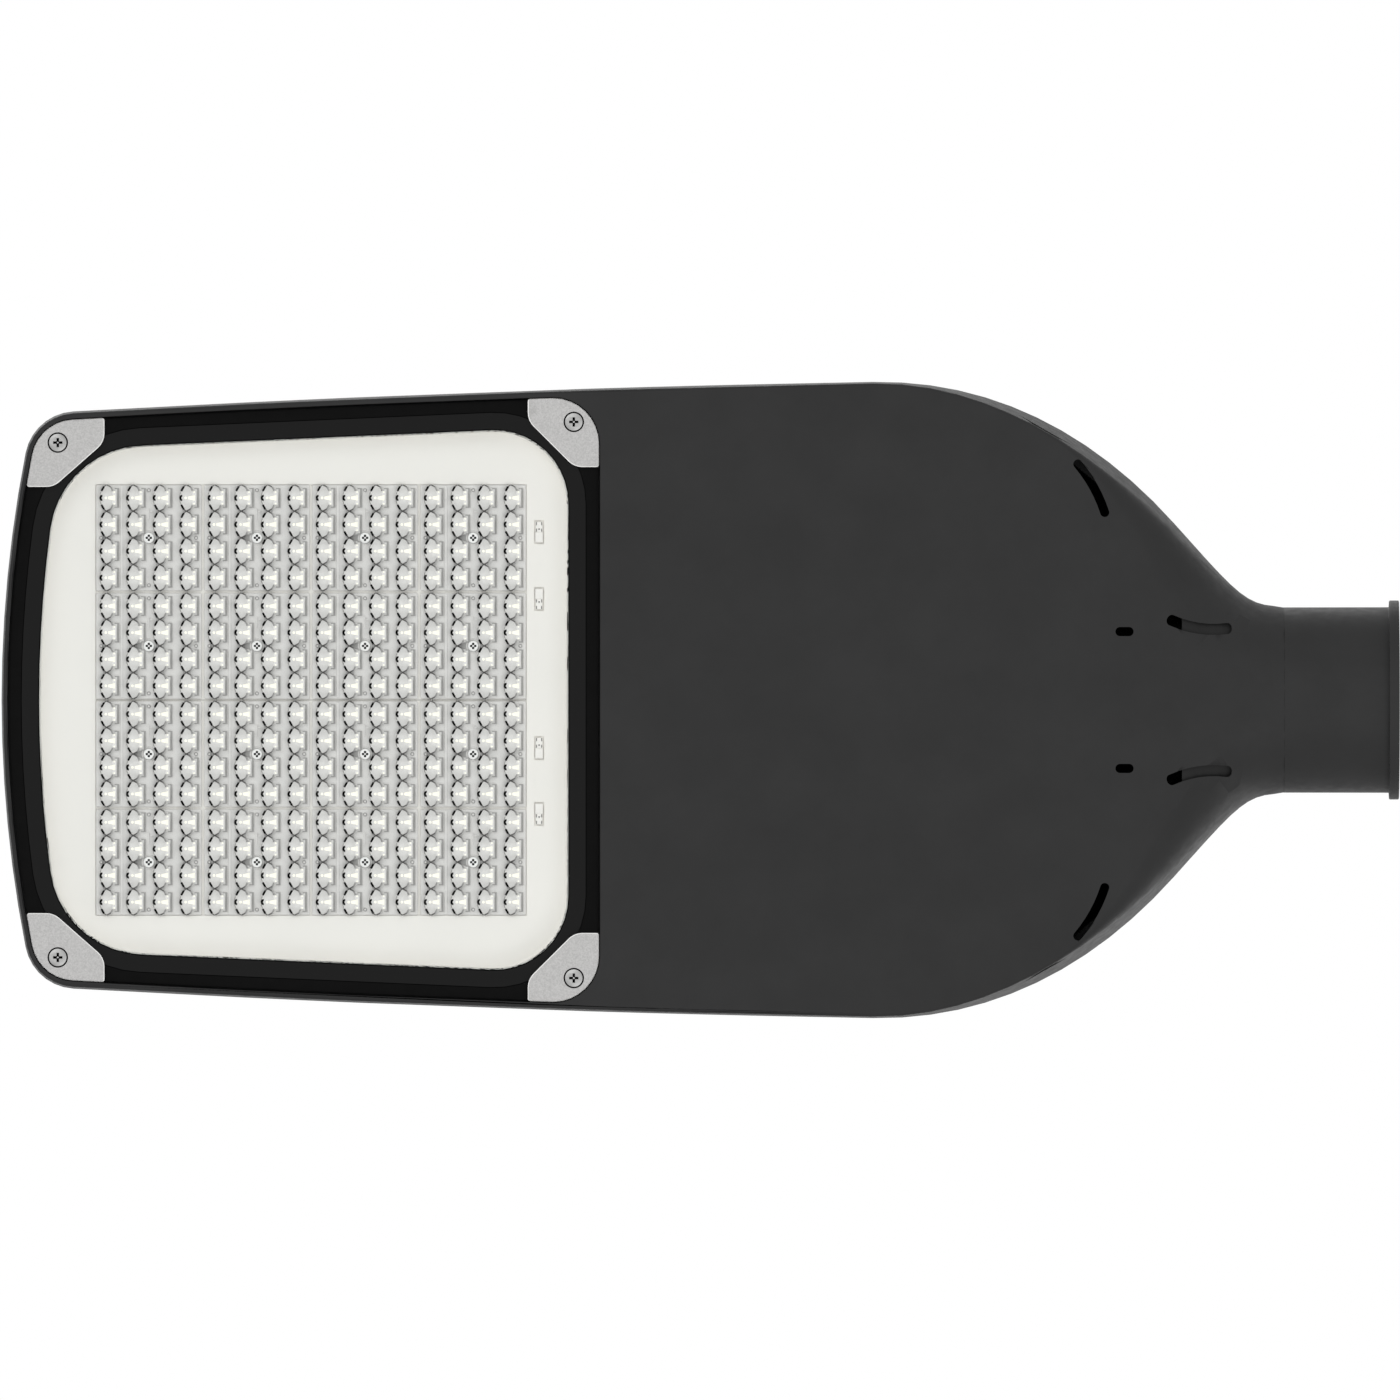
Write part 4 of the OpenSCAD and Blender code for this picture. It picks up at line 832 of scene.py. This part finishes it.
def optic_ribs(base_z):
    """The long rib between two rows of lenses, and a short web with its arm in painted highlight."""
    near, far, end = -0.0120, -0.0132, MODULE_SIDE / 2 - 0.0004
    rib = blank("rib", (far, -end, base_z - 0.0005), (near, end, base_z))
    web = blank("web", (-0.0003, -0.0136, base_z - 0.0008), (0.0002, -0.0085, base_z))
    arm = blank("arm", (0.0004, -0.0126, base_z - 0.0012), (0.0018, -0.0120, base_z))
    return [zone(break_edges(rib, 0.0002), CLEAR), zone(break_edges(web, 0.0001), PAINTED_HIGHLIGHT),
            zone(break_edges(arm, 0.0001), PAINTED_HIGHLIGHT)]


def optic_pegs(base_z):
    """Four small pegs in painted half shade with a pit, in the middle of each side."""
    peg_r, tip_r, pit_r = 0.0009, 0.0008, 0.0005
    pegs = []
    for x, y in ((0, -0.0221), (0, 0.0220), (-0.0221, 0), (0.0219, 0)):
        peg = drum("peg", peg_r, base_z - 0.0006, base_z, x, y, tip_radius=tip_r, sides=24)
        pit = drum("pit", pit_r, base_z - 0.002, base_z - 0.0003, x, y, sides=20)
        pegs.append(cut(zone(peg, PAINTED_HALF_SHADE), zone(pit, CLEAR)))
    return pegs


def optic_collar(base_z):
    """The collar round the screw, with a gusset in painted half shade and two braces in painted shade on
    one side of it.
    """
    collar_r, tip_r, seat_r = 0.0034, 0.0033, 0.0029
    collar = drum("collar", collar_r, base_z - 0.0005, base_z, tip_radius=tip_r, sides=48)
    cut(collar, drum("seat", seat_r, base_z - 0.003, base_z + 0.001, sides=48))
    gusset = wedge("gusset", -0.0064, -0.0031, 0.0003, 0.0021, base_z - 0.0004, base_z)
    braces = [bar("brace", -0.0026, way * 0.0029, 0.0024, 0.00055, base_z - 0.0006, base_z, -way * 41)
              for way in (-1, 1)]
    return [zone(collar, CLEAR), zone(gusset, PAINTED_HALF_SHADE), *(zone(brace, EDGE) for brace in braces)]


def optic_form(tip_z, top_z):
    """One optic about the origin."""
    base_z = top_z - LENS_BASE
    return join("optic", [optic_plate(base_z, top_z), *optic_lenses(tip_z, base_z), *optic_ribs(base_z),
                          *optic_pegs(base_z), *optic_collar(base_z)])


def lens_modules():
    """Sixteen optics, each a copy of one form in the place of its CAD solid."""
    places = module_places()
    low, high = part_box(min(places))
    optic = optic_form(low.z, high.z)
    for node, place in places.items():
        twin = duplicate(optic, node.replace("lens_module", "optic"), (place.x, place.y, 0))
        dress(twin, "lens_plastic", node)
    bpy.data.objects.remove(optic)


def lens_screws():
    """Small white pan heads with a cross, one in the middle of each optic."""
    places = module_places()
    base_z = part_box(min(places))[1].z - LENS_BASE
    radius, taper, height, middle_r = 0.00265, 0.92, 0.0018, 0.0005
    face = base_z - height
    head = drum("lens_screw", radius, face, base_z, tip_radius=radius * taper, sides=48)
    break_edges(head, 0.0004, steps=4)
    cross_recess(head, 0, 0, face, depth=0.0012, reach=0.0016, half_width=0.00056)
    middle = drum("middle", middle_r, face + 0.0001, base_z - 0.0008, sides=24)
    head = join("lens_screw", [head, middle])
    screws = [duplicate(head, "lens_screw", (place.x, place.y, 0)) for place in places.values()]
    bpy.data.objects.remove(head)
    piece = smooth(join("lens_screw_heads", screws), 30)
    piece.data.materials[0] = screw_white
    dress(piece, "screw_steel", "lens_screws")


def connector(x, y, low, high, turn):
    """One board connector: a plain white half, and a narrower half with its slots and test hole in painted
    shade.
    """
    half, neck, long = 0.00185, 0.0016, 0.0048
    slot_x, slot_long, slot_wide, hole_r = 0.00118, 0.0004, 0.0014, 0.00038
    near, far = min(y, y - turn * long), max(y, y - turn * long)
    body = break_edges(blank("connector", (x - half, near, low), (x + half, far, high)), 0.0004, steps=3)
    near, far = min(y, y + turn * long), max(y, y + turn * long)
    clip = break_edges(blank("clip", (x - neck, near, low + 0.0003), (x + neck, far, high)), 0.0002)
    above, floor_z = low - 0.001, low + 0.0012
    tools = [bar("slot", x + side * slot_x, y + turn * at, slot_long, slot_wide, above, floor_z)
             for side in (-1, 1) for at in (0.0009, 0.0039)]
    tools.append(drum("hole", hole_r, above, floor_z, x, y + turn * 0.0014, sides=20))
    give(body, white_plastic, slot_painted_shade)
    give(clip, white_plastic, slot_painted_shade)
    # The cut faces of the slots and hole get the grey: painted shade
    for tool in tools:
        cut(clip, mark_all(give(tool, white_plastic, slot_painted_shade), 1))
    return join("connector", [body, clip])


def connector_rows():
    """Middles of the connectors across the light, from the sides of their CAD solids."""
    groups = []
    for y in sorted({round(vertex.co.y, 5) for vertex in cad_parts["board_connectors"].data.vertices}):
        if not groups or y - groups[-1][0] > 0.015:
            groups.append([y])
        groups[-1].append(y)
    return [(group[0] + group[-1]) / 2 for group in groups]


def connectors():
    """Four connectors, each in the place of its CAD solid. Neighbours point away from each other."""
    low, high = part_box("board_connectors")
    x = (low.x + high.x) / 2
    made = [connector(x, y, low.z, high.z, -1 if number % 2 == 0 else 1)
            for number, y in enumerate(connector_rows())]
    dress(smooth(join("connectors", made), 30), "white_plastic", "board_connectors")


def plain_nodes():
    """CAD solids whose shape is right as it is get their real finish."""
    finishes = {
        "gear_cover_seal": (black_rubber, "black_rubber"),
        "gear_cover_screws": (screw_steel, "screw_steel"),
        "glass_seal": (black_rubber, "black_rubber"),
        "led_board_left": (board_white, "board_white"),
        "led_board_right": (board_white, "board_white"),
        "led_driver": (driver_case, "driver_case"),
        "driver_screws": (screw_steel, "screw_steel"),
        "surge_protector": (blue_plastic, "blue_plastic"),
        "terminal_block": (cream_plastic, "cream_plastic"),
        "gear_screws": (screw_steel, "screw_steel"),
        "cable_gland": (black_plastic, "black_plastic"),
        "gland_locknut": (black_plastic, "black_plastic"),
        "board_lead_grommet": (black_rubber, "black_rubber"),
        "pressure_vent": (black_plastic, "black_plastic"),
        "earth_screw": (brass, "brass"),
        "pole_set_screws": (screw_steel, "screw_steel"),
    }
    for node, (material, slot) in finishes.items():
        give(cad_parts[node], material)


def camera():
    """Straight below the lamp, looking up, from so far that the view has no perspective."""
    lens, sensor = 1650, 36
    width = PHOTO_PIXEL * PHOTO_SIZE
    face_z = cad_box[0].z
    data = bpy.data.cameras.new("camera")
    data.lens, data.sensor_width = lens, sensor
    distance = width * lens / sensor
    data.clip_start, data.clip_end = 1, 2 * distance
    eye = bpy.data.objects.new("camera", data)
    eye.location = (-width / 2, 0, face_z - distance)
    eye.rotation_euler = (math.pi, 0, 0)
    bpy.context.scene.collection.objects.link(eye)
    bpy.context.scene.camera = eye


def world_light():
    """White behind the object and in its reflections, and an even light from all round."""
    world = bpy.data.worlds.new("studio")
    world.use_nodes = True
    bpy.context.scene.world = world
    tree = world.node_tree
    tree.nodes.clear()
    path = tree.nodes.new("ShaderNodeLightPath")
    seen = [path.outputs[name] for name in ("Is Camera Ray", "Is Glossy Ray", "Is Transmission Ray")]
    total = seen[0]
    for ray in seen[1:]:
        larger = tree.nodes.new("ShaderNodeMath")
        larger.operation = "MAXIMUM"
        tree.links.new(total, larger.inputs[0])
        tree.links.new(ray, larger.inputs[1])
        total = larger.outputs[0]
    strength = tree.nodes.new("ShaderNodeMapRange")
    strength.inputs["To Min"].default_value = 0.6
    strength.inputs["To Max"].default_value = 1.0
    tree.links.new(total, strength.inputs["Value"])
    background = tree.nodes.new("ShaderNodeBackground")
    tree.links.new(strength.outputs[0], background.inputs["Strength"])
    background.inputs["Color"].default_value = (1, 1, 1, 1)
    output = tree.nodes.new("ShaderNodeOutputWorld")
    tree.links.new(background.outputs[0], output.inputs["Surface"])


def lamp(name, azimuth, elevation, share):
    """A soft lamp far away that adds a share of the plain level to a face turned towards it."""
    data = bpy.data.lights.new(name, "SUN")
    data.energy = math.pi * share
    data.angle = math.radians(40)
    lamp_object = bpy.data.objects.new(name, data)
    a, e = math.radians(azimuth), math.radians(elevation)
    towards = Vector((math.sin(a) * math.cos(e), -math.cos(a) * math.cos(e), math.sin(e)))
    lamp_object.rotation_mode = "QUATERNION"
    lamp_object.rotation_quaternion = towards.to_track_quat("Z", "Y")
    bpy.context.scene.collection.objects.link(lamp_object)


def floor():
    """A pale floor under the face of the lamp. From below it is open, so that the face shows."""
    bpy.ops.object.select_all(action="DESELECT")
    bpy.ops.mesh.primitive_plane_add(size=12, location=(cad_box[0].x / 2, 0, cad_box[0].z - 0.0002))
    piece = added("floor")
    finish = Finish("floor_grey", (0.72, 0.72, 0.71), 0.8)
    behind = finish.node("ShaderNodeNewGeometry", {}, output="Backfacing")
    finish.set("Alpha", 1 - behind)
    piece.data.materials.append(finish.material)
    for ray in ("diffuse", "glossy", "transmission", "volume_scatter", "shadow"):
        setattr(piece, "visible_" + ray, False)


housing()
gear_cover()
reflector_tray()
window_glass()
for bracket in BRACKETS:
    corner_bracket(bracket)
clamp_screws()
lens_modules()
lens_screws()
connectors()
plain_nodes()
camera()
world_light()
lamp("key_below", -35, -62, 0.217)
lamp("fill_below", 140, -60, 0.189)
lamp("key_above", -30, 50, 0.3)
lamp("fill_above", 130, 40, 0.15)
floor()

scene = bpy.context.scene
scene.view_settings.view_transform = "Standard"
